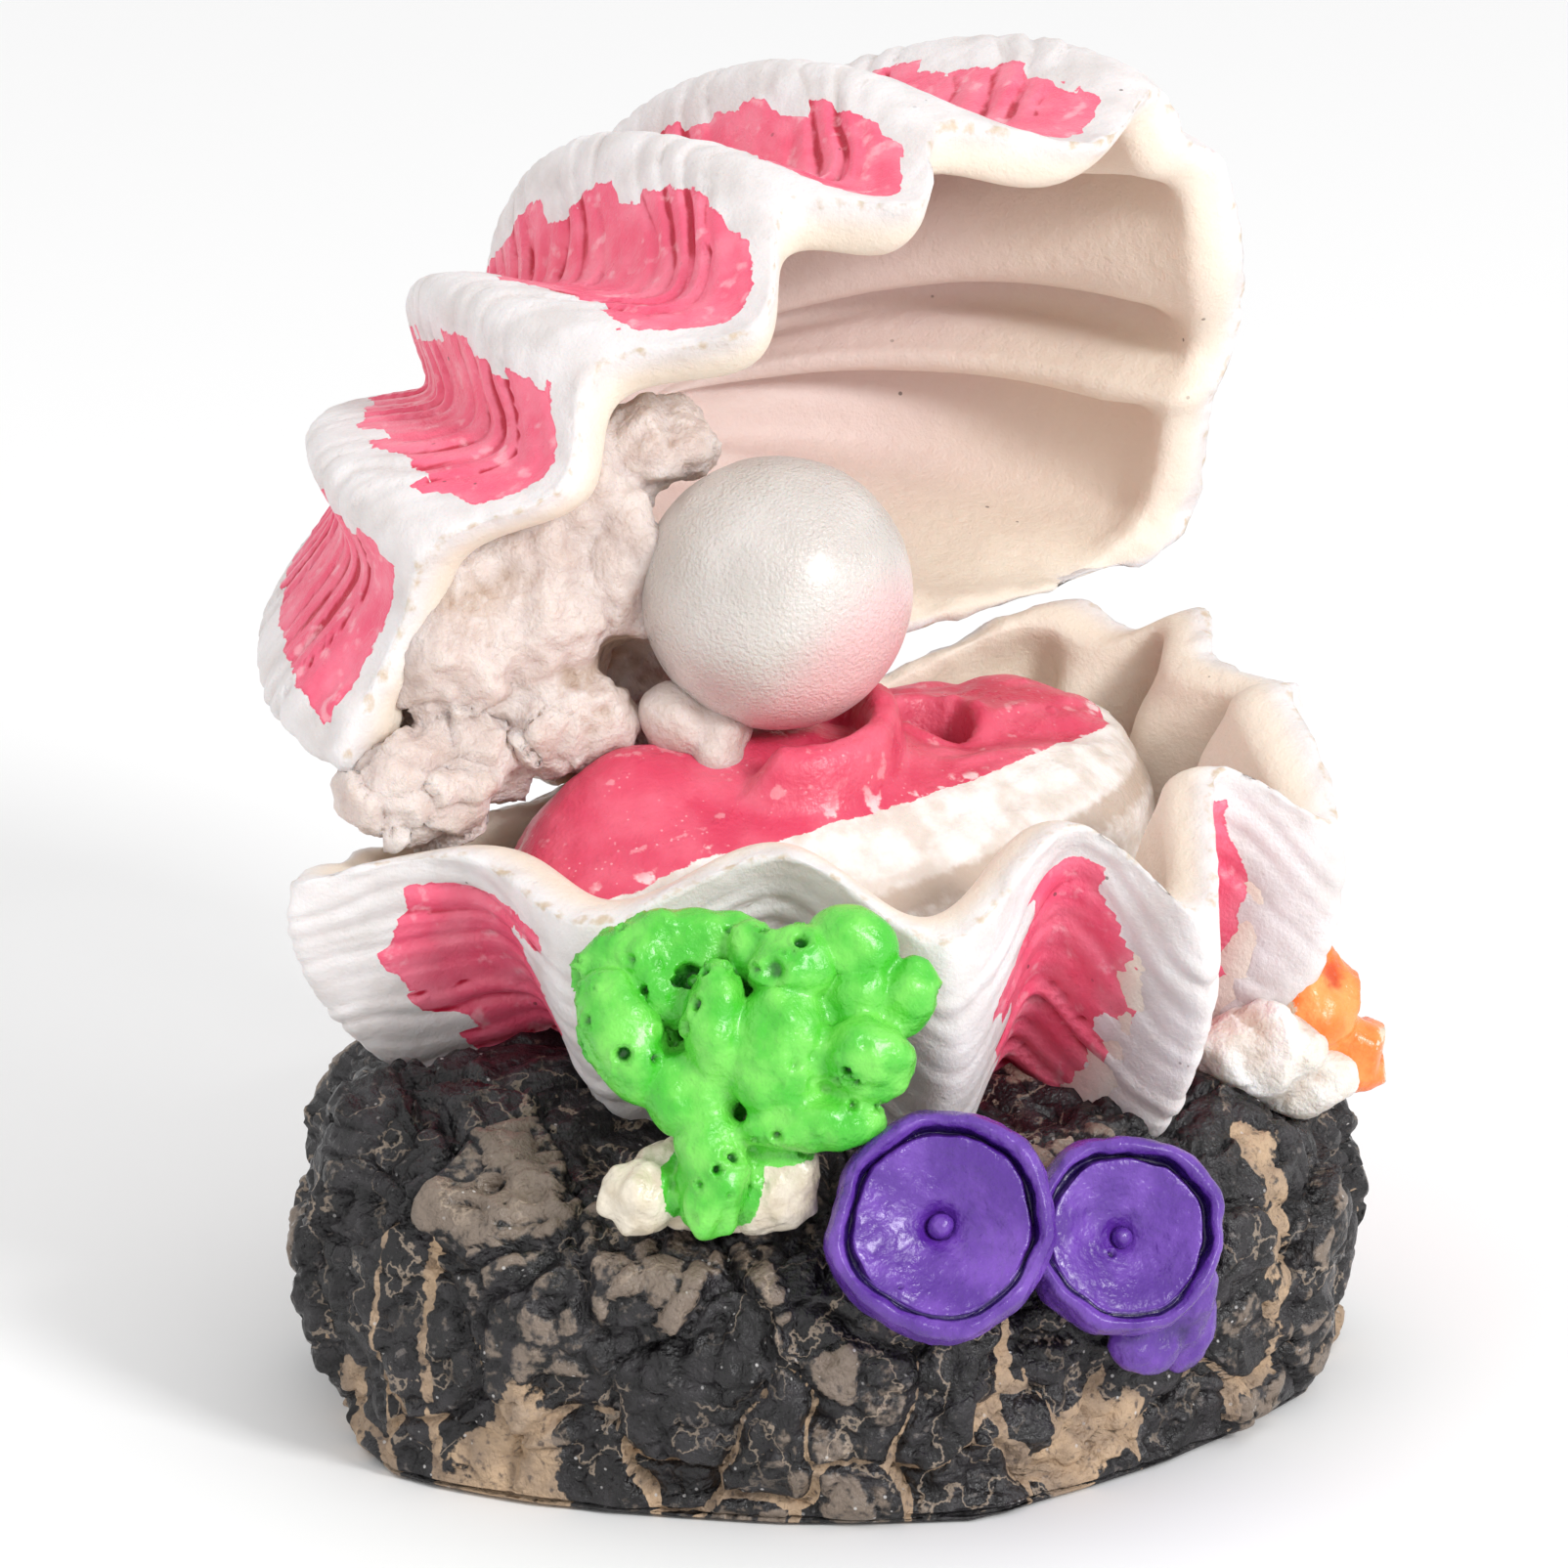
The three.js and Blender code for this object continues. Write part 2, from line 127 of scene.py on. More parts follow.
def noise(p, size, seed=0):
    """Smooth noise from -1 to 1 whose features are about size across."""
    q = p / size + 911.7
    base = np.floor(q)
    f = q - base
    f = f * f * (3 - 2 * f)
    base = base.astype(np.int64)
    total = 0.0
    for dx in (0, 1):
        wx = f[..., 0] if dx else 1 - f[..., 0]
        for dy in (0, 1):
            wy = wx * (f[..., 1] if dy else 1 - f[..., 1])
            for dz in (0, 1):
                w = wy * (f[..., 2] if dz else 1 - f[..., 2])
                total = total + w * hashed(base + np.array([dx, dy, dz]), seed)
    return total


def fractal(p, size, octaves, seed=0):
    total = 0.0
    for k in range(octaves):
        total = total + noise(p, size / 2**k, seed + k) * 0.5**k
    return total / (2 - 0.5 ** (octaves - 1))


def cells(p, size, seed=0, jitter=0.8):
    """Distances to the nearest and next of scattered points, as shares of size, and the nearest's value."""
    q = p / size + 911.7
    base = np.floor(q).astype(np.int64)
    first = np.full(q.shape[:-1], 9.0)
    second = first.copy()
    value = np.zeros(q.shape[:-1])
    for dx in (-1, 0, 1):
        for dy in (-1, 0, 1):
            for dz in (-1, 0, 1):
                cell = base + np.array([dx, dy, dz])
                spread = np.stack([hashed(cell, seed + k) for k in (1, 2, 3)], -1)
                d = np.linalg.norm(cell + 0.5 + spread * 0.5 * jitter - q, axis=-1)
                nearer = d < first
                second = np.where(nearer, first, np.minimum(second, d))
                value = np.where(nearer, hashed(cell, seed + 4), value)
                first = np.where(nearer, d, first)
    return first, second, value


def pits(p, size, radius, share, seed=0):
    """Round pits with raised edges, about size apart: 0 on the surface, -1 at the middle of a pit."""
    first, _, value = cells(p, size, seed)
    own_cell = np.floor(value * 1000).astype(np.int64)[..., None] * [1, 0, 0]
    r = radius / size * (1 + 0.35 * hashed(own_cell))
    there = (value * 0.5 + 0.5) < share
    hollow = 1 - smooth(0.45 * r, r, first)
    lip = bell(first, 1.15 * r, 0.22 * r)
    return np.where(there, 0.25 * lip - hollow, 0.0)


# ---- Surfaces ----
class Shape:
    """A closed surface in millimetres, with values marked on its points."""

    def __init__(self, verts, quads, tris):
        self.verts = verts
        self.quads = quads
        self.tris = tris
        self.marks = {}
        corners = np.concatenate([quads[:, [0, 1, 2]], quads[:, [0, 2, 3]], tris])
        a, b, c = (verts[corners[:, k]] for k in range(3))
        if np.einsum("ij,ij->", a, np.cross(b, c)) < 0:
            self.quads = quads[:, ::-1]
            self.tris = tris[:, ::-1]

    def normals(self):
        v = self.verts
        total = np.zeros_like(v)
        q = self.quads
        face = np.cross(v[q[:, 2]] - v[q[:, 0]], v[q[:, 3]] - v[q[:, 1]])
        for k in range(4):
            for axis in range(3):
                total[:, axis] += np.bincount(q[:, k], face[:, axis], len(v))
        if len(self.tris):
            t = self.tris
            face = np.cross(v[t[:, 1]] - v[t[:, 0]], v[t[:, 2]] - v[t[:, 0]])
            for k in range(3):
                for axis in range(3):
                    total[:, axis] += np.bincount(t[:, k], face[:, axis], len(v))
        return unit(total)

    def push(self, height):
        self.verts = self.verts + self.normals() * np.asarray(height)[:, None]

    def mark(self, key, values):
        self.marks[key] = np.broadcast_to(values, len(self.verts)).astype(np.float32)


def wrapped(rings):
    """Rings of points (rows, around, 3) joined into a closed surface, with a point at each end."""
    rows, around = rings.shape[:2]
    verts = np.concatenate([rings.reshape(-1, 3), rings[:1].mean(1), rings[-1:].mean(1)])
    row = np.arange(rows - 1)[:, None] * around
    j = np.arange(around)[None]
    k = (j + 1) % around
    quads = np.stack([row + j, row + k, row + around + k, row + around + j], -1).reshape(-1, 4)
    j, k = j[0], k[0]
    last = (rows - 1) * around
    first_cap = np.stack([np.full(around, rows * around), k, j], -1)
    last_cap = np.stack([np.full(around, rows * around + 1), last + j, last + k], -1)
    return Shape(verts, quads, np.concatenate([first_cap, last_cap]))


def on_rings(values):
    """Values on rings (rows, around), with one for each end point."""
    return np.concatenate([values.reshape(-1), values[:1].mean(1), values[-1:].mean(1)])


def ball(at, half, turn=0.0, tip=0.0, around=28, rows=18):
    """Points and faces of an ellipsoid tipped about X and then turned about Z."""
    down = np.linspace(0, np.pi, rows + 2)[1:-1, None]
    turns = circle_of(around)[None]
    flat = np.sin(down)
    p = np.stack([flat * np.cos(turns), flat * np.sin(turns), np.cos(down) + 0 * turns], -1)
    p = p * np.asarray(half, float)
    ct, st = np.cos(np.radians(tip)), np.sin(np.radians(tip))
    p = np.stack([p[..., 0], ct * p[..., 1] - st * p[..., 2], st * p[..., 1] + ct * p[..., 2]], -1)
    ca, sa = np.cos(np.radians(turn)), np.sin(np.radians(turn))
    p = np.stack([ca * p[..., 0] - sa * p[..., 1], sa * p[..., 0] + ca * p[..., 1], p[..., 2]], -1)
    return wrapped(p + np.asarray(at, float))


def fused(shapes, voxel, smoothing):
    """Overlapping closed shapes grown together into one surface, its creases softened."""
    verts, faces, start = [], [], 0
    for s in shapes:
        verts.append(s.verts)
        faces += (s.quads + start).tolist() + (s.tris + start).tolist()
        start += len(s.verts)
    mesh = bpy.data.meshes.new("fusing")
    mesh.from_pydata((np.concatenate(verts) * MM).tolist(), [], faces)
    obj = placed("fusing", mesh)
    remesh = obj.modifiers.new("remesh", "REMESH")
    remesh.mode = "VOXEL"
    remesh.voxel_size = voxel * MM
    soften = obj.modifiers.new("soften", "SMOOTH")
    soften.factor = 0.5
    soften.iterations = smoothing
    done = bpy.data.meshes.new_from_object(obj.evaluated_get(bpy.context.evaluated_depsgraph_get()))
    points = np.zeros(len(done.vertices) * 3)
    done.vertices.foreach_get("co", points)
    corners = np.zeros(len(done.loops), np.int64)
    done.loops.foreach_get("vertex_index", corners)
    sizes = np.zeros(len(done.polygons), np.int64)
    starts = np.zeros(len(done.polygons), np.int64)
    done.polygons.foreach_get("loop_total", sizes)
    done.polygons.foreach_get("loop_start", starts)
    quads = corners[starts[sizes == 4][:, None] + np.arange(4)]
    tris = corners[starts[sizes == 3][:, None] + np.arange(3)]
    bpy.data.objects.remove(obj)
    bpy.data.meshes.remove(mesh)
    bpy.data.meshes.remove(done)
    return Shape(points.reshape(-1, 3) / MM, quads, tris)


def make(name, shape, material, nodes, body="ornament"):
    mesh = bpy.data.meshes.new(name)
    mesh.from_pydata((shape.verts * MM).tolist(), [], shape.quads.tolist() + shape.tris.tolist())
    mesh.shade_smooth()
    for key, values in shape.marks.items():
        mesh.attributes.new(key, "FLOAT", "POINT").data.foreach_set("value", values)
    mesh.materials.append(material)
    obj = placed(name, mesh)
    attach(obj, body)
    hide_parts(*nodes)


# ---- Materials ----
def rgb(r, g, b):
    """Linear colour of an sRGB colour given from 0 to 255."""
    c = np.array([r, g, b]) / 255
    c = np.where(c <= 0.04045, c / 12.92, ((c + 0.055) / 1.055) ** 2.4)
    return (float(c[0]), float(c[1]), float(c[2]), 1.0)


class Finish:
    """A procedural material. Sizes are millimetres in the piece's own coordinates."""

    def __init__(self, name, **values):
        self.material = bpy.data.materials.new(name)
        self.material.use_nodes = True
        self.nodes = self.material.node_tree.nodes
        self.links = self.material.node_tree.links
        self.shader = self.nodes["Principled BSDF"]
        for key, value in values.items():
            self.shader.inputs[key.replace("_", " ").title().replace("Ior", "IOR")].default_value = value
        place = self.nodes.new("ShaderNodeTexCoord")
        scale = self.nodes.new("ShaderNodeVectorMath")
        scale.operation = "SCALE"
        scale.inputs["Scale"].default_value = 1 / MM
        self.links.new(place.outputs["Object"], scale.inputs[0])
        self.place = scale.outputs[0]
        self.normal = None

    def put(self, socket, value):
        if isinstance(value, bpy.types.NodeSocket):
            self.links.new(value, socket)
        else:
            socket.default_value = value

    def mark(self, name):
        node = self.nodes.new("ShaderNodeAttribute")
        node.attribute_name = name
        return node.outputs["Fac"]

    def noise(self, size, detail, seed):
        node = self.nodes.new("ShaderNodeTexNoise")
        node.noise_dimensions = "4D"
        node.inputs["W"].default_value = seed
        node.inputs["Scale"].default_value = 1 / size
        node.inputs["Detail"].default_value = detail
        self.links.new(self.place, node.inputs["Vector"])
        return node.outputs["Fac"]

    def spots(self, size):
        node = self.nodes.new("ShaderNodeTexVoronoi")
        node.inputs["Scale"].default_value = 1 / size
        self.links.new(self.place, node.inputs["Vector"])
        return node.outputs["Distance"]

    def math(self, operation, a, b=0.0):
        node = self.nodes.new("ShaderNodeMath")
        node.operation = operation
        self.put(node.inputs[0], a)
        self.put(node.inputs[1], b)
        return node.outputs[0]

    def step(self, value, low, high, start=0.0, end=1.0):
        node = self.nodes.new("ShaderNodeMapRange")
        node.interpolation_type = "SMOOTHSTEP"
        self.put(node.inputs["Value"], value)
        node.inputs["From Min"].default_value = low
        node.inputs["From Max"].default_value = high
        node.inputs["To Min"].default_value = start
        node.inputs["To Max"].default_value = end
        return node.outputs[0]

    def times(self, a, b):
        return self.math("MULTIPLY", a, b)

    def patches(self, size, detail, seed, low=0.35, high=0.7, start=0.0, end=1.0):
        """Noise made into patches: start where it is under low, end where it is over high."""
        return self.step(self.noise(size, detail, seed), low, high, start, end)

    def mix(self, share, a, b):
        node = self.nodes.new("ShaderNodeMix")
        node.data_type = "RGBA"
        self.put(node.inputs["Factor"], share)
        self.put(node.inputs[6], a)
        self.put(node.inputs[7], b)
        return node.outputs[2]

    def ragged(self, value, size, amount, seed=0.0):
        """The value with noise added, to give an edge drawn from it a torn outline."""
        wander = self.math("SUBTRACT", self.noise(size, 4.0, seed), 0.5)
        return self.math("ADD", value, self.times(wander, amount))

    def bump(self, height, distance):
        node = self.nodes.new("ShaderNodeBump")
        node.inputs["Distance"].default_value = distance * MM
        self.put(node.inputs["Height"], height)
        if self.normal is not None:
            self.links.new(self.normal, node.inputs["Normal"])
        self.normal = node.outputs[0]

    def done(self, colour, roughness):
        self.put(self.shader.inputs["Base Color"], colour)
        self.put(self.shader.inputs["Roughness"], roughness)
        if self.normal is not None:
            self.links.new(self.normal, self.shader.inputs["Normal"])
        return self.material


# PINK and PALE_PINK are paint; the crimson is painted shade for the bands' crevices.
PINK, SHADE_CRIMSON, PALE_PINK = rgb(238, 92, 124), rgb(190, 20, 56), rgb(247, 172, 184)
WHITE, SHADED_WHITE = rgb(231, 226, 226), rgb(214, 207, 205)
# The rose is painted shade for the deep of the cup.
CREAM, SHADED_ROSE = rgb(236, 222, 206), rgb(226, 206, 200)
TAN, DARK_SPECK = rgb(196, 172, 140), rgb(70, 52, 44)
RESIN, SHADE_AMBER = rgb(228, 218, 200), rgb(176, 144, 118)


def shell_finish():
    m = Finish("painted_shell", subsurface_weight=0.18, subsurface_scale=2.5 * MM, ior=1.45)
    m.shader.inputs["Subsurface Radius"].default_value = (1.0, 0.55, 0.4)
    paint = m.ragged(m.mark("paint"), 0.5, 0.9)
    pink_here = m.step(paint, -0.03, 0.05)
    ridge = m.mark("ridge")
    inside = m.mark("inside")
    white = m.mix(m.patches(3.0, 3.0, 1.0), WHITE, SHADED_WHITE)
    # The white goes greyer in the low step of each growth line, from the ridge mark: painted shade.
    white = m.mix(m.step(ridge, 0.32, 0.0, 0.0, 0.5), white, rgb(205, 195, 190))
    # The lining goes from cream to a darker rose deeper in the cup: painted shade.
    lining = m.mix(m.step(m.ragged(m.mark("deep"), 9.0, 0.5, 3.0), 0.02, 0.5), CREAM, SHADED_ROSE)
    white = m.mix(inside, white, lining)
    pink = m.mix(m.patches(2.2, 3.0, 5.0), PINK, rgb(244, 124, 148))
    # The bands go a darker red towards the beak of the lower valve, where they narrow into the crevice at the
    # rock: painted shade.
    pink = m.mix(m.times(m.mark("band_shade_near_beak"), 0.75), pink, rgb(206, 30, 66))
    # The bands go crimson in the low step of each growth line: painted shade.
    pink = m.mix(m.step(m.ragged(ridge, 0.6, 0.5, 8.0), 0.68, 0.2), pink, SHADE_CRIMSON)
    pink = m.mix(m.patches(1.1, 4.0, 9.0, 0.56, 0.7, 0.0, 0.75), pink, PALE_PINK)
    pink = m.mix(m.step(paint, 0.22, 0.03, 0.0, 0.4), pink, rgb(222, 58, 96))
    colour = m.mix(pink_here, white, pink)
    edge = m.ragged(m.mark("lip"), 0.8, 1.1, 4.0)
    colour = m.mix(m.step(edge, 0.95, 1.2, 0.0, 0.75), colour, TAN)
    specks = m.times(m.step(m.spots(1.9), 0.07, 0.045), m.patches(6.0, 1.0, 6.0, 0.5, 0.6))
    colour = m.mix(m.times(specks, 0.7), colour, DARK_SPECK)
    m.bump(m.noise(0.16, 3.0, 2.0), 0.05)
    m.bump(m.noise(0.9, 4.0, 7.0), 0.12)
    gloss = m.math("SUBTRACT", 0.46, m.times(pink_here, 0.16))
    return m.done(colour, m.ragged(gloss, 1.5, 0.18, 11.0))


def resin_finish(name, base, shade):
    m = Finish(name, subsurface_weight=0.3, subsurface_scale=2.5 * MM, ior=1.47)
    m.shader.inputs["Subsurface Radius"].default_value = (1.0, 0.65, 0.4)
    hollow = m.mark("ridge")
    colour = m.mix(m.patches(2.5, 4.0, 1.0), base, shade)
    # Amber brown where the ridge mark is low, in the hollows of the relief: painted shade.
    colour = m.mix(m.step(m.ragged(hollow, 1.2, 0.5, 6.0), 0.5, 0.0, 0.0, 0.7), colour, SHADE_AMBER)
    m.bump(m.noise(0.22, 4.0, 2.0), 0.12)
    m.bump(m.noise(0.9, 4.0, 3.0), 0.3)
    return m.done(colour, m.ragged(0.38, 0.8, 0.3, 5.0))


def rock_finish():
    m = Finish("painted_rock", ior=1.5)
    bare = m.ragged(m.mark("bare"), 1.4, 1.3, 1.0)
    here = m.step(m.ragged(bare, 0.4, 0.5, 2.0), -0.04, 0.06)
    black = m.mix(m.patches(1.6, 4.0, 3.0, 0.4, 0.72), rgb(17, 15, 17), rgb(46, 43, 46))
    black = m.mix(m.patches(0.7, 5.0, 12.0, 0.62, 0.7, 0.0, 0.6), black, rgb(112, 104, 100))
    tan = m.mix(m.patches(1.8, 4.0, 4.0, 0.3, 0.7), rgb(188, 160, 130), rgb(142, 122, 104))
    tan = m.mix(m.patches(0.5, 3.0, 5.0, 0.55, 0.72, 0.0, 0.8), tan, rgb(70, 62, 60))
    wavy = m.math("ABSOLUTE", m.math("SUBTRACT", m.noise(3.4, 6.0, 21.0), 0.5))
    threads = m.times(m.step(wavy, 0.011, 0.003), m.patches(5.0, 2.0, 22.0, 0.42, 0.56))
    black = m.mix(m.times(threads, 0.8), black, rgb(150, 134, 118))
    colour = m.mix(here, black, tan)
    height = m.mark("ridge")
    worn = m.step(m.ragged(height, 0.5, 0.9, 6.0), 0.88, 1.1, 0.0, 0.45)
    colour = m.mix(worn, colour, rgb(176, 156, 138))
    dust = m.times(m.step(m.spots(0.75), 0.14, 0.09), m.patches(3.0, 2.0, 7.0, 0.46, 0.62))
    colour = m.mix(m.times(dust, 0.75), colour, rgb(205, 202, 200))
    m.bump(m.noise(0.3, 4.0, 8.0), 0.2)
    m.bump(m.noise(1.1, 5.0, 9.0), 0.6)
    gloss = m.patches(1.3, 3.0, 10.0, 0.3, 0.7, 0.22, 0.5)
    return m.done(colour, m.math("ADD", gloss, m.times(here, 0.25)))


def mantle_finish():
    m = Finish("mantle_paint", subsurface_weight=0.12, subsurface_scale=1.5 * MM, ior=1.47)
    paint = m.ragged(m.mark("paint"), 0.6, 0.9, 1.0)
    here = m.step(m.ragged(paint, 0.15, 0.3, 2.0), -0.04, 0.06)
    pink = m.mix(m.patches(3.5, 3.0, 3.0, 0.35, 0.68), rgb(214, 62, 94), rgb(228, 98, 122))
    # Dark crimson down in the outlet bore: painted shade.
    pink = m.mix(m.mark("deep"), pink, rgb(150, 8, 34))
    pink = m.mix(m.patches(1.2, 5.0, 13.0, 0.62, 0.68, 0.0, 0.45), pink, rgb(240, 178, 184))
    grain = m.times(m.step(m.spots(0.42), 0.2, 0.1), m.patches(2.5, 2.0, 4.0, 0.5, 0.62))
    pink = m.mix(m.times(grain, 0.55), pink, rgb(246, 196, 200))
    scuffed = m.times(m.patches(1.4, 4.0, 14.0, 0.56, 0.62), m.step(paint, 1.7, 0.5))
    pink = m.mix(m.times(scuffed, 0.8), pink, rgb(244, 222, 222))
    side = m.mix(m.patches(1.5, 4.0, 5.0, 0.35, 0.65), rgb(238, 232, 228), rgb(216, 204, 194))
    # The side goes brown-grey in the belt groove round the flesh: painted shade.
    groove = m.ragged(m.mark("groove"), 0.6, 0.6, 6.0)
    side = m.mix(m.step(groove, 0.5, 0.9, 0.0, 0.8), side, rgb(186, 164, 146))
    m.bump(m.noise(0.25, 4.0, 7.0), 0.07)
    m.bump(m.noise(1.2, 3.0, 8.0), 0.15)
    return m.done(m.mix(here, side, pink), m.patches(1.5, 3.0, 9.0, 0.3, 0.7, 0.26, 0.44))


def pearl_finish():
    m = Finish("pearl_lustre", subsurface_weight=0.12, subsurface_scale=2.0 * MM, ior=1.6,
               coat_weight=0.5, coat_roughness=0.26, sheen_weight=0.1)
    body = m.mix(m.patches(5.0, 2.0, 1.0), rgb(212, 205, 200), rgb(196, 188, 182))
    # The pearl goes pink on the side and underside that face the pink mantle: painted reflection.
    body = m.mix(m.step(m.mark("pink_reflection"), 0.0, 1.0, 0.0, 0.85), body, rgb(232, 176, 180))
    specks = m.step(m.spots(2.3), 0.05, 0.03)
    body = m.mix(m.times(specks, 0.6), body, rgb(140, 105, 95))
    m.bump(m.noise(0.2, 2.0, 3.0), 0.14)
    m.bump(m.noise(0.7, 2.0, 4.0), 0.05)
    return m.done(body, m.patches(0.8, 3.0, 5.0, 0.3, 0.7, 0.26, 0.36))


def coral_finish(name, main, light, hollow_shade, bare_tone):
    m = Finish(name, ior=1.5, coat_weight=0.25, coat_roughness=0.15)
    paint = m.ragged(m.mark("paint"), 0.45, 0.8, 1.0)
    here = m.step(m.ragged(paint, 0.14, 0.35, 2.0), -0.05, 0.05)
    ridge = m.mark("ridge")
    tone = m.mix(m.patches(1.8, 4.0, 3.0), main, light)
    # The paint goes to its dark tone in the pits and hollows: painted shade.
    tone = m.mix(m.step(m.ragged(ridge, 0.5, 0.4, 4.0), 0.42, 0.0), tone, hollow_shade)
    thin = m.times(m.patches(0.8, 4.0, 5.0, 0.62, 0.7), m.step(paint, 1.2, 0.1))
    tone = m.mix(thin, tone, light)
    base = m.mix(m.patches(1.3, 4.0, 6.0), bare_tone, rgb(206, 192, 168))
    m.bump(m.noise(0.25, 4.0, 7.0), 0.08)
    m.bump(m.noise(0.8, 3.0, 8.0), 0.18)
    return m.done(m.mix(here, base, tone), m.patches(0.9, 3.0, 9.0, 0.3, 0.7, 0.2, 0.4))


def plastic_finish():
    m = Finish("nipple_plastic", ior=1.46)
    colour = m.mix(m.patches(2.0, 3.0, 1.0), rgb(168, 174, 178), rgb(150, 156, 162))
    m.bump(m.noise(0.3, 3.0, 2.0), 0.02)
    return m.done(colour, m.patches(1.0, 3.0, 3.0, 0.3, 0.7, 0.3, 0.45))


# ---- Clam ----
# A rim in its own plane: [along the hinge, away from the hinge, towards the other valve, fold].
UPPER_RIM = [
    [-25.5, -2.6, 0, 1], [-23, 4.5, -0.5, -1], [-22, 9, 0, 1], [-17, 12.5, 3, -1], [-13, 17, 0, 1],
    [-7.5, 20.5, 5, -1], [-2, 24, 0, 1], [2.5, 25.3, 4.7, -1], [7.5, 27, 0, 1], [14.5, 26.5, 4, -1],
    [22, 27, 0, 1], [24.5, 24, 0.5, -1], [28, 22, 0, 1], [29, 17, 1.5, -1], [31, 12, 0, 1],
    [29.5, 9.5, 0.8, -1], [30, 7, 0, 1], [29, 0, 0, 0], [15, -1.5, 0, 0], [0, -2, 0, 0], [-14, -1.5, 0, 0],
]
LOWER_RIM = [
    [-26.6, 1, 0.6, 1], [-20.5, 7, 1.8, -1], [-20, 16.5, 1, 1], [-12, 21.5, 3.5, -1], [-9, 30, 0.7, 1],
    [0, 29.5, 3.8, -1], [3, 35.5, 0, 1], [10, 29, 3.6, -1], [15, 32, 0.3, 1], [20, 23.5, 3.3, -1],
    [23.5, 20, 1.7, 1], [23.3, 14.5, 1.8, -1], [26.5, 10, 2.4, 1], [24.4, 7, 1, -1], [22.4, 3, 2.1, 1],
    [12, 0, 0, 0], [0, 0, 0, 0], [-12, 0, 0, 0],
]
OPEN, ROLL, PITCH = np.radians([78, 6, 3.4])
UPPER = {
    "origin": np.array([5, 11.3, 35]),
    "along": np.array([1.0, 0, 0]),
    "out": np.array([0, -np.cos(OPEN), np.sin(OPEN)]),
    "back": np.array([0, np.sin(OPEN), np.cos(OPEN)]),
    "rim": np.array(UPPER_RIM, float),
    "beak": np.array([0.0, 3, 16]),
    "blotch": 0.15,
    "taper": 0.3,
    "bands": {},
    # How much of the bands' painted shade towards the beak this valve gets.
    "band_shade_near_beak": 0.0,
    "swell_beak": (10, 17),
    "swell_rim": (14.5, 20),
    "reach": 27,
}
LOWER = {
    "origin": np.array([2.5, 13.3, 29.5]),
    "along": np.array([np.cos(ROLL), 0, np.sin(ROLL)]),
    "out": np.array([0, -np.cos(PITCH), -np.sin(PITCH)]),
    "rim": np.array(LOWER_RIM, float),
    "beak": np.array([0.0, 8, 18]),
    "blotch": 0.5,
    "taper": 0.3,
    # A groove's paint: how much narrower it is, and how fast it narrows away from the rim.
    "bands": {1: (0.3, 1.2), 5: (0.55, -0.4), 7: (0.85, -0.9)},
    # How much of the bands' painted shade towards the beak this valve gets.
    "band_shade_near_beak": 1.0,
    "swell_beak": (6, 10),
    "swell_rim": (9.5, 14.5),
    "reach": 34,
}
LOWER["back"] = np.cross(LOWER["along"], LOWER["out"])


def closed_curve(points, shares):
    """A smooth closed curve through the points, read at shares of a turn."""
    at = shares * len(points)
    i = np.floor(at).astype(int)
    w = (at - i)[:, None]
    p0, p1, p2, p3 = (points[(i + k) % len(points)] for k in (-1, 0, 1, 2))
    t0, t1 = 0.5 * (p2 - p0), 0.5 * (p3 - p1)
    return p1 + t0 * w + (3 * (p2 - p1) - 2 * t0 - t1) * w**2 + (2 * (p1 - p2) + t0 + t1) * w**3


def blurred(values, width):
    """Values round a closed curve, averaged over about width neighbours each way."""
    reach = np.arange(-3 * width, 3 * width + 1)
    weights = np.exp(-0.5 * (reach / width) ** 2)
    return sum(w * np.roll(values, k, 0) for k, w in zip(reach, weights / weights.sum()))


def skin(valve, share, down, offset, relief=1.0, blur=0):
    """Points (rows, around, 3) of a valve's skin, from the beak (down 0) to the rim (down 1)."""
    rim = closed_curve(valve["rim"][:, :3] * [1, 1, -1], share)
    fold = closed_curve(valve["rim"][:, 3:], share)[:, 0]
    if blur:
        rim, fold = blurred(rim, blur), blurred(fold, blur)
    beak = valve["beak"]
    outward = unit((rim - beak) * [1, 1, 0])
    rim = rim + outward * offset
    beak = beak + np.array([0, 0, offset])
    reach = np.clip(rim[:, 1] / valve["reach"], 0, 1)[:, None]
    lift = np.array([0, 0, 1.0])
    near_rim = rim + lift * lerp(*valve["swell_rim"], reach)
    near_beak = beak + 0.25 * (rim - beak) * [1, 1, 0] + lift * lerp(*valve["swell_beak"], reach)
    t = np.asarray(down)[:, None, None]
    local = bezier(beak, near_beak, near_rim, rim, t)
    depth = np.maximum(np.sin(np.pi * np.clip(t, 0, 1) ** 1.4), 0) ** 0.8
    local = local + outward * relief * depth * fold[:, None]
    axes = np.stack([valve["along"], valve["out"], valve["back"]])
    return valve["origin"] + local @ axes


GROWTH_LINES = 27
OUTER_ROWS, LIP_ROWS, INNER_ROWS, AROUND = 160, 12, 50, 430
BEAK_START = 0.02
LIP_END = 0.985  # where the lip has run into the inner skin
LIP_WIDTH = 3.1
OUTER_FOLDS, INNER_FOLDS, INNER_BLUR = 1.5, 1.9, 5
UNPAINTED = -3.0


def valve_rings(valve, share, down_out, down_in):
    """The outer skin, the rounded lip and the inner skin, from the beak out and back to the beak."""
    outer = skin(valve, share, down_out, 0.0, OUTER_FOLDS)
    inner = skin(valve, share, down_in, -LIP_WIDTH, INNER_FOLDS, INNER_BLUR)
    inner_rim = skin(valve, share, [1.0], -LIP_WIDTH, INNER_FOLDS, INNER_BLUR)[0]
    back = valve["back"]
    near_outer = lerp(outer[-1], inner_rim, 0.35) - back * 0.45
    near_inner = lerp(outer[-1], inner_rim, 0.92) - back * 0.25
    t = np.linspace(0, 1, LIP_ROWS + 2)[1:-1, None, None]
    lip = bezier(outer[-1], near_outer, near_inner, inner[0], t)
    return np.concatenate([outer, lip, inner])


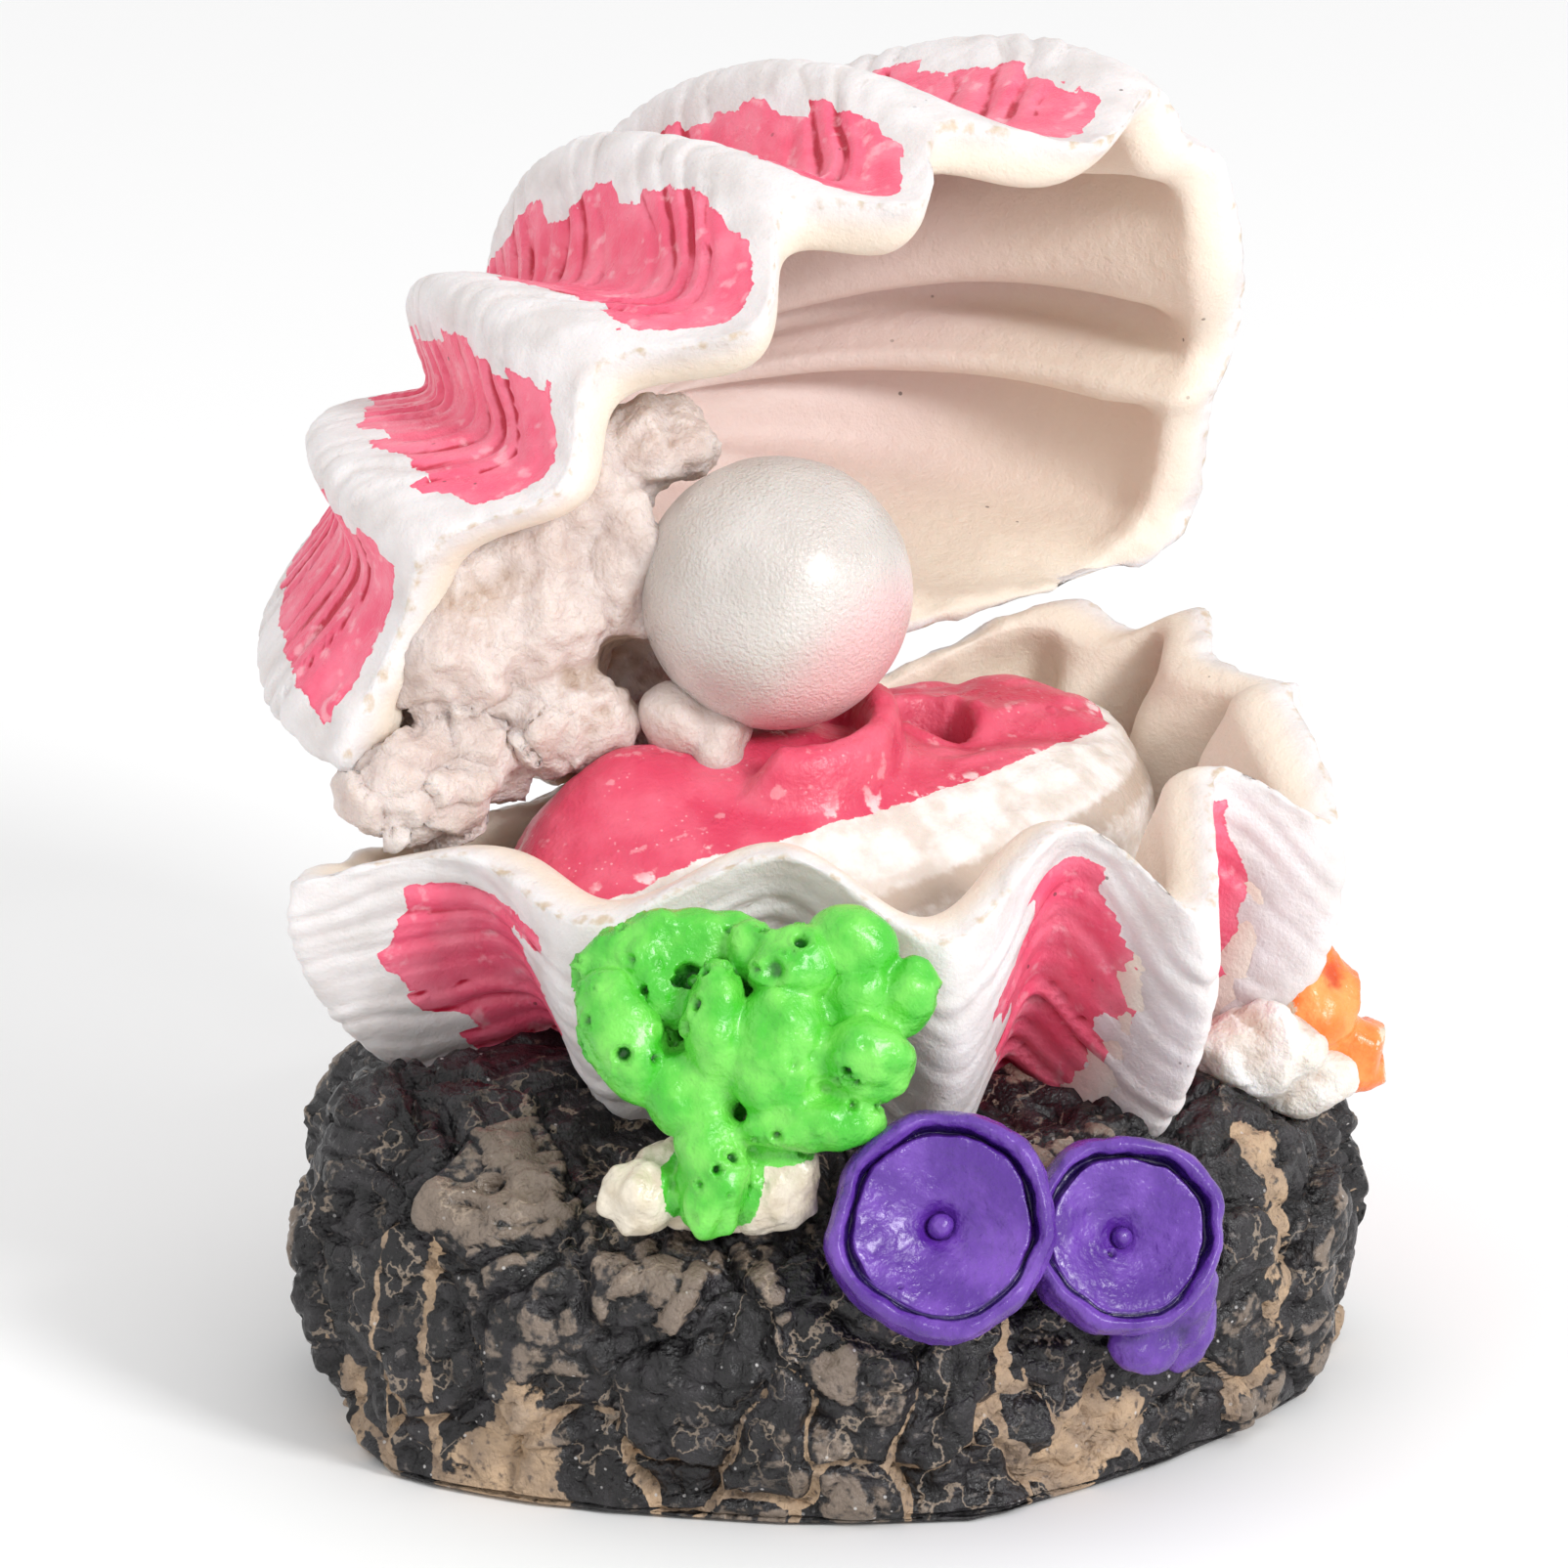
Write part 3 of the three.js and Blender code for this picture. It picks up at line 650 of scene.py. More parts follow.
def valve_shape(valve, seed, painted, start, stop):
    """A valve whose painted grooves are coloured from start to stop on the way down to the rim."""
    share = np.arange(AROUND) / AROUND
    down_out = np.linspace(BEAK_START, 1, OUTER_ROWS)
    down_in = np.linspace(LIP_END, BEAK_START, INNER_ROWS)
    rings = valve_rings(valve, share, down_out, down_in)
    shape = wrapped(rings)

    rim = closed_curve(valve["rim"][:, :3], share)
    fold = closed_curve(valve["rim"][:, 3:], share)[:, 0]
    ones = np.ones(AROUND)
    down_lip = np.linspace(1, LIP_END, LIP_ROWS)
    down = np.concatenate([down_out, down_lip, down_in])[:, None] * ones
    outside = np.concatenate([np.ones(OUTER_ROWS), np.zeros(LIP_ROWS + INNER_ROWS)])[:, None] * ones
    folds = np.ones(len(rings))[:, None] * fold
    wander = noise(rings, 9.0, seed) * 0.9 + noise(rings, 2.6, seed + 1) * 0.3
    age = down * GROWTH_LINES + wander + 0.5 * folds
    line = np.floor(age).astype(np.int64)
    part = age - line
    column = line[..., None] * np.array([1, 0, 0])
    strength = 0.7 + 0.6 * hashed(column, seed)
    saw = smooth(0, 0.5, part) - smooth(0.8, 1.0, part)
    fade = smooth(0.04, 0.2, down) * (1 - 0.8 * smooth(0.9, 0.975, down))
    hollow = smooth(0.3, -0.7, folds)
    growth = lerp(0.27, 0.46, hollow) * (saw - 0.6) * strength * fade
    growth *= 0.75 + 0.7 * noise(rings, 2.6, seed + 2)
    growth += 0.05 * noise(rings * 0 + age[..., None], 0.21, seed + 3) * fade

    at_hinge = smooth(5.0, 0.5, rim[:, 1])[None]
    edge = np.exp(-(((down - 1) * 75) ** 2)) * np.where(outside > 0, 1, smooth(0.993, 1, down))
    chips = edge * 0.3 * fractal(rings, 1.1, 3, seed + 5)
    torn = smooth(0.86, 1.0, down) * at_hinge * (0.8 * fractal(rings, 2.6, 3, seed + 7))
    soft = 0.18 * fractal(rings, 6.0, 2, seed + 9)
    points_round = share * len(valve["rim"])
    ribs = -0.9 * blurred(fold, 6) - 0.3 * np.cos(2 * np.pi * share * len(valve["rim"]) + 0.8)
    fan = ribs * smooth(0.12, 0.5, down) * smooth(0.99, 0.9, down) * (1 - outside)
    height = growth * outside + chips + torn + soft * (1 - edge) + fan
    shape.push(on_rings(height))

    index = np.round(points_round).astype(int) % len(valve["rim"])
    groove_here = np.zeros(AROUND)
    narrow = np.zeros(AROUND)
    taper = np.full(AROUND, valve["taper"])
    for k in painted:
        near = np.abs(points_round - k) < 1.0
        groove_here[near] = 1
        narrow[near], taper[near] = valve["bands"].get(k, (0.0, valve["taper"]))
    stepped = 0.26 * hashed(column + np.array([0, 1, 0]) * index[:, None], seed + 11)
    blotch = valve["blotch"] * noise(rings, 3.6, seed + 13)
    side = (0.28 - folds + stepped + blotch - narrow - taper * (1 - down)) * 3.4
    ends = np.minimum((stop - down + 0.012 * hashed(column, seed + 12)) * 42, (down - start) * 42)
    paint = np.where(groove_here[None] * outside > 0, np.minimum(side, ends), UNPAINTED)
    shape.mark("paint", on_rings(np.clip(paint, UNPAINTED, -UNPAINTED)))
    # The ridge mark is low in the sunk part of each growth-line step; the shell finish darkens it there as
    # painted shade.
    uneven = 0.55 + 0.55 * smooth(-0.4, 0.4, noise(rings, 2.0, seed + 14))
    sunk = fade * np.clip(strength, 0, 1) * uneven
    shape.mark("ridge", on_rings(np.where(outside > 0, lerp(1.0, saw, sunk), 1.0)))
    # Only the lower valve gets this painted shade, darker towards the beak.
    shape.mark("band_shade_near_beak", on_rings(valve["band_shade_near_beak"] * smooth(0.3, 0.52, 1 - down) * outside))
    shape.mark("inside", on_rings(np.where(outside > 0, 0.0, smooth(1.0, 0.992, down))))
    # deep: how far into the cup, which the shell finish darkens as painted shade.
    shape.mark("deep", on_rings((1 - down) * (1 - outside)))
    shape.mark("lip", on_rings(edge))
    return shape


shell = shell_finish()
upper_shape = valve_shape(UPPER, 3, (1, 3, 5, 7, 9, 11, 13), 0.24, 0.962)
make("clam_upper_shell", upper_shape, shell, ["upper_valve"])
lower_shape = valve_shape(LOWER, 23, (1, 5, 7, 9, 11, 13), 0.12, 0.955)
make("clam_lower_shell", lower_shape, shell, ["lower_valve"])

# The underside of the lower valve, to lay the rock up to it and to keep the mantle inside it.
coarse = wrapped(skin(LOWER, np.arange(144) / 144, np.linspace(0.02, 1, 60), 0.0))
underside = BVHTree.FromPolygons(coarse.verts.tolist(), coarse.quads.tolist())


def valve_height(points):
    """Height of the lower valve's underside above each point's place, or nan where there is none."""
    found = np.full(len(points), np.nan)
    for i, (x, y) in enumerate(points[:, :2].tolist()):
        hit = underside.ray_cast((x, y, -20.0), (0.0, 0.0, 1.0))[0]
        if hit is not None:
            found[i] = hit.z
    return found


# ---- Rock ----
ROCK_PROFILE = np.array([
    [0, 17.2], [0.35, 17.2], [0.62, 17.2], [0.8, 16.6], [0.93, 14.6], [0.99, 11], [1.0, 7],
    [0.99, 3.2], [0.975, 0.8], [0.96, 0], [0.4, 0], [0, 0],
])
# Corners of the outline: degrees about Z, radius.
ROCK_CORNERS = np.array([
    [8, 24.5], [40, 24], [68, 23.5], [90, 22.6], [112, 23.6], [133, 26.6], [163, 28.6], [177, 28.2],
    [195, 25.2], [225, 23.4], [248, 24], [281, 22.8], [310, 25.6], [327, 27.2], [343, 27.4], [368, 24.5],
])
FACET_ROUNDING = 0.25
WEST, WEST_SPREAD = 152, 22  # degrees about Z of the side that is wrinkled and undercut
UNDERCUT_SHARE, UNDERCUT_HEIGHT = 0.1, 7
WEST_CORNER = 177
# How the top stands above or below its level: millimetres, degrees about Z, spread in degrees.
TOP_SWELLS = [(1.7, 150, 30), (-3.0, 213, 27)]
BLOCK_SIZE, CHIP_SIZE, PIT_SPACING = 6.4, 2.1, 3.6
VALVE_OVERLAP = 0.7  # how far the rock reaches into the lower valve's underside
ROCK_AROUND = 520


def rock_outline(angle):
    turns, radii = ROCK_CORNERS.T
    degrees = (np.degrees(angle) - turns[0]) % 360 + turns[0]
    after = np.clip(np.searchsorted(turns, degrees, side="right"), 1, len(turns) - 1)
    a, b, ra, rb = turns[after - 1], turns[after], radii[after - 1], radii[after]
    rise = ra * np.sin(np.radians(degrees - a)) + rb * np.sin(np.radians(b - degrees))
    straight = ra * rb * np.sin(np.radians(b - a)) / rise
    return lerp(straight, ra + (rb - ra) * (degrees - a) / (b - a), FACET_ROUNDING)


# The flat ground on the back of the rock and the nipple's socket in it, as the part has them.
REAR_FLAT_Y, NIPPLE_HEIGHT = 20.2, 8.0
GROUND_RADIUS, SOCKET_RADIUS, SOCKET_DEPTH = 8.0, 2.8, 7.3


def seat_for_nipple(verts):
    x, y, z = verts.T
    away = np.hypot(x, z - NIPPLE_HEIGHT)
    behind = y > 0
    ground = smooth(GROUND_RADIUS + 1.2, GROUND_RADIUS - 0.6, away) * behind
    flat_y = REAR_FLAT_Y - 0.12 + 0.1 * noise(verts, 1.5, 85) * smooth(5.0, 6.5, away)
    y = lerp(y, np.minimum(y, flat_y), ground)
    near_edge = behind & (np.abs(away - SOCKET_RADIUS) < 0.2)
    edge_radius = SOCKET_RADIUS + 0.02 * np.sign(away - SOCKET_RADIUS)
    pull = np.where(near_edge, edge_radius / np.maximum(away, 0.1), 1.0)
    y = np.where(behind & (away < SOCKET_RADIUS), REAR_FLAT_Y - SOCKET_DEPTH, y)
    return np.stack([x * pull, y, NIPPLE_HEIGHT + (z - NIPPLE_HEIGHT) * pull], -1)


def rock_blank():
    """The rock before its relief: the profile carried round the outline."""
    steps = np.concatenate([np.linspace(0.2, 2, 10), np.linspace(2, 9, 150)[1:], np.linspace(9, 10.8, 8)[1:]])
    known = np.arange(len(ROCK_PROFILE))
    radius = np.interp(steps, known, ROCK_PROFILE[:, 0])
    height = np.interp(steps, known, ROCK_PROFILE[:, 1])
    side = (steps > 2.6) & (steps < 8.8)
    for values in (radius, height):
        values[side] = softened(values, 9, 30)[side]
    angle = circle_of(ROCK_AROUND)
    degrees = np.degrees(angle)
    from_west = (degrees - WEST + 540) % 360 - 180
    near_ground = np.maximum(0, 1 - height / UNDERCUT_HEIGHT)[:, None]
    undercut = 1 - UNDERCUT_SHARE * bell(from_west, 0, WEST_SPREAD) * near_ground
    out = radius[:, None] * rock_outline(angle)[None] * undercut
    rise = sum(tall * bell(degrees, at, spread) for tall, at, spread in TOP_SWELLS)
    top_part = smooth(11, 16, height)[:, None]
    level = height[:, None] + top_part * rise
    return wrapped(np.stack([out * np.cos(angle), out * np.sin(angle), level], -1))


def rock_shape():
    shape = rock_blank()
    p = shape.verts
    up = p[:, 2]
    side = smooth(0.0, 1.2, up)
    lumps = 0.9 * noise(p, 9.0, 41) + 0.35 * noise(p, 3.6, 42)
    warped = p + 1.1 * np.stack([noise(p, 3.0, s) for s in (43, 44, 45)], -1)
    first, second, value = cells(warped * [1, 1, 0.8], BLOCK_SIZE, 50)
    gap = second - first
    blocks = 0.75 * value - 0.6 * bell(gap, 0, 0.06)
    chip_first, chip_second, chip = cells(p + 0.5 * noise(p, 1.5, 60)[:, None], CHIP_SIZE, 61)
    chipped = 0.26 * chip - 0.26 * bell(chip_second - chip_first, 0, 0.12)
    layers = noise(p * [0.16, 0.16, 1.0], 1.3, 70)
    layered = -0.5 * smooth(0.25, 0.75, layers) * smooth(2, 5, up) * smooth(14, 9, up)
    degrees = np.degrees(np.arctan2(p[:, 1], p[:, 0]))
    wrinkled = 0.32 * bell(degrees, WEST, WEST_SPREAD) * noise(p * [1, 1, 0.14], 0.7, 71)
    holes = 0.5 * pits(p, PIT_SPACING, 0.75, 0.5, 80)
    crags = 0.25 - np.abs(noise(p * [1, 1, 0.7], 3.0, 88)) * 0.7 - np.abs(noise(p, 1.3, 89)) * 0.16
    fine = 0.13 * fractal(p, 0.9, 3, 90)
    shape.push((lumps + blocks + chipped + layered + wrinkled + holes + crags + fine) * side)
    foot = 0.5 * noise(p * [1, 1, 0], 2.4, 95) * smooth(2.5, 0.6, up) * smooth(-0.1, 0.3, up)
    shape.verts[:, :2] *= (1 + foot / 24)[:, None]
    shape.verts[:, 2] = np.maximum(shape.verts[:, 2], 0.0)
    shape.verts = seat_for_nipple(shape.verts)
    roof = valve_height(shape.verts) + VALVE_OVERLAP
    shape.verts[:, 2] = np.where(shape.verts[:, 2] > roof, roof, shape.verts[:, 2])
    low = smooth(12, 1.5, up)
    veins = 1 - smooth(0.0, 0.035 + 0.07 * low, gap)
    patches = smooth(0.42, 0.75, noise(p * [1, 1, 0.6], 4.0, 97) * 0.8 + low * 0.3 - 0.1)
    corner = bell(np.abs(degrees), WEST_CORNER, 1.3) * smooth(15, 12, up)
    streaked = bell(degrees, -58, 12) * smooth(0.2, 0.6, noise(p * [1, 1, 0.3], 2.2, 98))
    broken = 0.5 + 0.5 * smooth(-0.5, 0.2, noise(p, 5.5, 99))
    bare = 1.55 * veins * (0.5 + 0.6 * low) * broken + 1.2 * patches + 1.2 * corner + 1.1 * streaked - 0.95
    shape.mark("bare", np.clip(bare, -2, 2))
    shape.mark("ridge", np.clip(0.5 + blocks + chipped + 0.5 * fine, 0, 1.2))
    return shape


make("rock_body", rock_shape(), rock_finish(), ["rock_base"])


# ---- Pearl and mantle ----
PEARL_AT, PEARL_RADIUS = np.array([-0.5, 3.1, 39.8]), 6.8


def pearl_shape():
    shape = ball(PEARL_AT, [PEARL_RADIUS] * 3, around=200, rows=120)
    p = shape.verts
    shape.push(0.06 * noise(p, 3.0, 101) + 0.02 * noise(p, 0.9, 102))
    facing = unit(p - PEARL_AT)
    # Which way the pearl faces the pink mantle, for its painted pink reflection.
    toward = unit(0.75 * RIGHT - 0.75 * UP + 0.2 * BACK)
    low = facing @ np.array([0, 0, -1.0])
    shape.mark("pink_reflection", smooth(0.35, 1.0, facing @ toward) + 0.45 * smooth(0.55, 1.0, low))
    return shape


make("pearl_ball", pearl_shape(), pearl_finish(), ["pearl"])

MANTLE_AT = np.array([2.4, 3.4, 25.3])
MANTLE_HALF = np.array([18.6, 9.2, 5.6])
OUTLET = np.array([9.6, 3.4])
OUTLET_DEPTH = 4.5
COLLAR_RADIUS, COLLAR_HEIGHT = 5.4, 2.3  # the raised edge in front of the pearl
MOUND_HEIGHT = 3.0
MANTLE_WALL = 1.2  # least height of the flesh above the lower valve's underside


def mantle_shape():
    around, rows = 300, 170
    turn = circle_of(around)[None]
    down = np.linspace(0, 1, rows + 2)[1:-1, None]
    side = np.sin(np.pi * down) ** 0.62
    x = MANTLE_HALF[0] * side * np.sign(np.cos(turn)) * np.abs(np.cos(turn)) ** 0.85
    y = MANTLE_HALF[1] * side * np.sign(np.sin(turn)) * np.abs(np.sin(turn)) ** 0.85
    narrowing = 1 - 0.24 * smooth(0.42, 0.8, down) * smooth(-6, -14, x) + 0.07 * smooth(0.42, 0.6, down)
    slope = 1 + 0.42 * smooth(0.34, 0.6, down) * smooth(0.1, -0.6, np.sin(turn))
    x, y = x * narrowing, y * narrowing * slope
    level = np.cos(np.pi * down)
    z = MANTLE_HALF[2] * np.sign(level) * np.abs(level) ** 0.5 + 0 * x
    top = smooth(0.5, 0.36, down) + 0 * x
    px, py = PEARL_AT[:2] - MANTLE_AT[:2]
    seat = 2.0 * np.exp(-((x - px) ** 2) / 40 - (y - py) ** 2 / 26)
    from_pearl = np.hypot(x - px, y - py)
    bearing = np.degrees(np.arctan2(y - py, x - px))
    front = smooth(-150, -125, bearing) * smooth(25, -5, bearing)
    collar = COLLAR_HEIGHT * bell(from_pearl, COLLAR_RADIUS, 0.9, 4) * front
    hump = MOUND_HEIGHT * mound(x, y, (-11.0, 1.8), (4.4, 4.2))
    ox, oy = OUTLET - MANTLE_AT[:2]
    bore = np.hypot((x - ox) / 2.3, (y - oy + 0.3) / 2.2)
    swale = -0.9 * mound(x, y, (12, -4.0), (3.5, 2.0))
    swale = swale - mound(x - ox, y - oy + 3.0, (0, 0), (2.8, 1.7))
    z = z + top * (seat + collar + hump + swale) + np.tan(ROLL) * x
    hollow = 1 - smooth(0.75, 1.05, bore)
    brim = 0.25 * bell(bore, 1.25, 0.22)
    z = z + top * (brim - OUTLET_DEPTH * hollow)
    shape = wrapped(np.stack([x, y, z], -1) + MANTLE_AT)
    p = shape.verts
    upward = on_rings(top)
    belt = on_rings(bell(down, 0.47, 0.03) + 0 * x)
    rough = 0.35 * noise(p, 4.0, 111) + 0.14 * fractal(p, 1.6, 3, 112)
    blisters = -0.12 * pits(p, 1.8, 0.22, 0.4, 113)
    runs = 0.16 * noise(p * [0.35, 1.0, 1.0], 0.8, 114) * smooth(3.0, 8.0, p[:, 0])
    shape.push(rough * (0.4 + 0.6 * upward) - 0.1 * belt + (blisters + runs) * upward)
    lowest = valve_height(shape.verts) + MANTLE_WALL
    shape.verts[:, 2] = np.where(shape.verts[:, 2] < lowest, lowest, shape.verts[:, 2])
    drop = on_rings(down + 0 * x)
    across = p - MANTLE_AT
    sideways, forward = np.abs(across[:, 0]) / MANTLE_HALF[0], across[:, 1] / MANTLE_HALF[1]
    in_front = smooth(0.1, -0.6, forward) * smooth(0.95, 0.6, sideways)
    edge = lerp(0.37, 0.255, in_front) + 0.02 * noise(p, 6.0, 115) + 0.012 * noise(p, 1.6, 116)
    shape.mark("paint", np.clip((edge - drop) * 30, -3, 3))
    # deep: down in the outlet bore, which the mantle finish darkens as painted shade.
    shape.mark("deep", on_rings(hollow * top * smooth(0.2, 0.9, hollow)))
    # groove: the belt round the side, which the mantle finish darkens as painted shade.
    shape.mark("groove", belt)
    return shape


make("mantle_flesh", mantle_shape(), mantle_finish(), ["mantle"])

# ---- Rough resin that joins the hinge and the pearl ----
# A lump: its middle and its half sizes.
BRIDGES = [
    ([-15.6, 10.8, 31.4], [5.6, 3.0, 3.4]), ([-2, 13.4, 32.6], [9.5, 3.4, 4.0]),
    ([-9.6, 10.8, 38.0], [4.6, 3.6, 6.6]), ([-2.6, 10.4, 46.4], [4.0, 3.6, 2.2]),
    ([-6.6, 10.8, 44.0], [3.6, 3.0, 4.0]), ([-13.4, 11.2, 37.4], [4.2, 3.0, 5.4]),
    ([-6.0, 8.8, 40.6], [2.6, 2.8, 4.4]), ([-9.0, 8.6, 33.6], [4.0, 2.6, 3.0]),
]


def bridge_shape():
    shape = fused([ball(at, half) for at, half in BRIDGES], 0.26, 3)
    p = shape.verts
    folds = 0.4 - np.abs(noise(p * [1, 1, 0.55], 3.6, 123)) * 1.3
    broken = np.floor(noise(p * [1, 1, 0.8], 2.2, 125) * 3.5) / 3.5
    sugar = 0.2 * noise(p, 0.9, 126) + 0.16 * noise(p, 0.5, 129)
    at_hinge = smooth(-9.0, -12.0, p[:, 0]) * smooth(38.0, 34.0, p[:, 2])
    first, second, block = cells(p * [1, 1, 1.5], 3.0, 127, 1.0)
    blocky = at_hinge * (0.7 * block - 0.22 * bell(second - first, 0, 0.08))
    rough = 0.4 * broken + 0.4 * fractal(p, 1.7, 3, 124) * (1 - 0.5 * at_hinge) + sugar + blocky
    shape.push(folds + rough)
    # The ridge mark drops beside the pearl's lower left and in the hollows, where the resin finish puts
    # amber: painted shade.
    pearl_side_shade = smooth(-13.0, -7.0, p[:, 0]) * smooth(41.0, 34.0, p[:, 2])
    ridge = 0.7 + 0.6 * folds + 0.8 * rough - 0.45 * pearl_side_shade + 0.3 * at_hinge
    shape.mark("ridge", np.clip(ridge, 0, 1))
    return shape


FOOT = [
    ([-4.4, 3.0, 32.0], [1.5, 1.4, 1.4]),
    ([-3.8, 3.6, 33.4], [1.8, 1.8, 1.7]),
    ([-5.4, 5.0, 33.6], [1.8, 2.0, 2.0]),
]


def foot_shape():
    shape = fused([ball(*blob) for blob in FOOT], 0.2, 8)
    p = shape.verts
    relief = 0.22 * noise(p, 1.8, 145) + 0.08 * fractal(p, 0.6, 2, 146)
    shape.push(relief)
    # The ridge mark is low in the hollows, which the resin finish darkens as painted shade.
    shape.mark("ridge", np.clip(0.6 + relief, 0, 1))
    return shape


bare_resin = resin_finish("bare_resin", rgb(222, 208, 202), rgb(202, 182, 174))
bridged = ["hinge_block", "hinge_bar", "pearl_bridge", "pearl_crown"]
make("resin_bridge", bridge_shape(), bare_resin, bridged)
make("pearl_foot_ramp", foot_shape(), bare_resin, ["pearl_foot"])

# ---- Green coral ----
# A lobe: place along RIGHT, UP and BACK, half sizes along the same, degrees it leans over to the left.
LOBES = [
    ([-7.5, 21.2, 24.6], [4.8, 2.1, 1.6], 12), ([-9.6, 17.4, 25.6], [1.9, 3.5, 1.9], 22),
    ([-5.2, 18.0, 27.0], [1.5, 3.2, 1.6], 6), ([-2.2, 16.6, 27.2], [2.5, 3.5, 1.8], -10),
    ([-1.6, 20.8, 26.8], [2.0, 2.2, 1.5], 0), ([1.2, 21.6, 26.2], [2.3, 1.7, 1.4], -15),
    ([1.9, 16.3, 27.4], [2.5, 2.1, 1.8], -20), ([3.8, 19.2, 26.2], [1.3, 2.3, 1.2], -25),
    ([-0.8, 13.3, 26.9], [3.5, 1.5, 1.5], 8), ([-5.4, 11.2, 26.3], [1.8, 3.3, 1.5], 0),
    ([-6.2, 14.8, 26.0], [2.4, 2.2, 1.5], 20), ([-7.9, 20.0, 25.6], [1.3, 2.4, 1.3], 30),
    ([1.4, 19.0, 26.4], [1.6, 2.0, 1.3], -30), ([-3.6, 21.4, 25.8], [1.2, 1.7, 1.2], 5),
]
# Bare resin behind the lobes, placed the same way.
BACKING = [
    ([-8.6, 9.8, 24.8], [2.4, 1.8, 1.6], 20), ([-2.4, 10.6, 25.0], [2.2, 2.8, 1.6], -10),
    ([-5.6, 10.4, 23.6], [4.0, 2.4, 2.4], 0), ([-3.8, 16.6, 23.0], [5.2, 4.2, 3.2], 0),
    ([-7.4, 18.6, 22.8], [3.2, 2.4, 2.6], 10), ([1.0, 18.6, 24.0], [3.0, 2.6, 2.6], 0),
]


def facing_axes(lean):
    c, s = np.cos(np.radians(lean)), np.sin(np.radians(lean))
    return np.stack([c * RIGHT + s * UP, -s * RIGHT + c * UP, BACK])


def facing_ball(at, half, lean):
    made = ball([0, 0, 0], half)
    middle = np.asarray(at) @ np.stack([RIGHT, UP, BACK])
    return Shape(made.verts @ facing_axes(lean) + middle, made.quads, made.tris)


def nearness(p, at, half, lean):
    """How deep each point lies in a lobe, in about millimetres."""
    middle = np.asarray(at) @ np.stack([RIGHT, UP, BACK])
    share = np.linalg.norm((p - middle) @ facing_axes(lean).T / np.asarray(half), axis=-1)
    return (1 - share) * min(half)


def coral_shape():
    shape = fused([facing_ball(*lobe) for lobe in LOBES + BACKING], 0.17, 1)
    p = shape.verts
    cover = np.max([nearness(p, *lobe) for lobe in LOBES], 0)
    pitted = smooth(-0.2, 0.2, noise(p, 4.0, 130) + 0.15)
    holes = pits(p, 1.25, 0.36, 0.85, 131) * pitted
    coarse_holes = pits(p, 2.1, 0.55, 0.5, 135) * pitted
    stem = smooth(18.0, 16.0, p[:, 2])
    strands = 0.25 * noise(p * [1, 1, 0.25], 0.6, 140)
    lumps = 0.42 * noise(p, 2.4, 141) + 0.16 * noise(p, 0.9, 142)
    relief = (0.6 * holes + 0.4 * coarse_holes) * (1 - 0.6 * stem) + strands * stem
    torn = 0.3 * fractal(p, 0.9, 2, 143) * smooth(-0.4, -0.9, cover)
    shape.push(lumps + relief * smooth(-0.9, -0.3, cover) + torn)
    shape.mark("paint", np.clip((cover + 0.55) * 2.2, -2, 2))
    # The ridge mark is low in the pits, where the paint darkens: painted shade.
    shape.mark("ridge", np.clip(0.5 + relief, -0.5, 1))
    return shape


# Green tones: main, lighter, and a dark one for painted shade in the pits.
coral = coral_finish("green_paint", rgb(66, 186, 44), rgb(118, 214, 84), rgb(18, 96, 20), RESIN)
coral_nodes = ["coral_stem", "coral_fan"] + [f"coral_lobe_{k}" for k in range(1, 8)]
make("green_coral", coral_shape(), coral, coral_nodes)

# ---- Purple polyps ----
POLYPS = [
    {
        "name": "polyp_large",
        "at": [-10.2, -20.6, 15.0],
        "axis": [-0.56, -0.72, 0.42],
        "radius": 5.6,
        "button": 1.0,
    },
    {
        "name": "polyp_small",
        "at": [-0.9, -23.0, 13.0],
        "axis": [-0.42, -0.82, 0.38],
        "radius": 4.8,
        "button": 0.8,
    },
]
# Share of the radius and height, from the middle of the dish over its rim to the middle of the back.
POLYP_PROFILE = np.array([
    [0, 0.3], [0.1, 0.3], [0.14, 0.6], [0.24, 1.0], [0.5, 1.5], [0.7, 1.9], [0.76, 1.95],
    [0.785, 1.35], [0.81, 1.35], [0.835, 2.3], [0.89, 2.6], [0.96, 2.35], [1.0, 1.4],
    [0.97, -0.4], [0.88, -1.8], [0.7, -2.9], [0, -3.0],
])
BUTTON_RISE = 0.55
# Purple paint tones: main, lighter, and a dark one for painted shade in the hollows.
purple_tones = rgb(80, 34, 140), rgb(112, 66, 172), rgb(36, 10, 84)
purple = coral_finish("purple_paint", *purple_tones, rgb(214, 190, 172))


def local_axes(axis):
    up = unit(np.array(axis))
    across = unit(np.cross([0, 0, 1.0], up))
    return across, np.cross(up, across), up


def round_axis(out, turn, lift, axis):
    """Points at a distance out from an axis, turned about it and lifted along it."""
    across, along, up = local_axes(axis)
    flat = (out * np.cos(turn))[..., None] * across + (out * np.sin(turn))[..., None] * along
    return flat + lift[..., None] * up


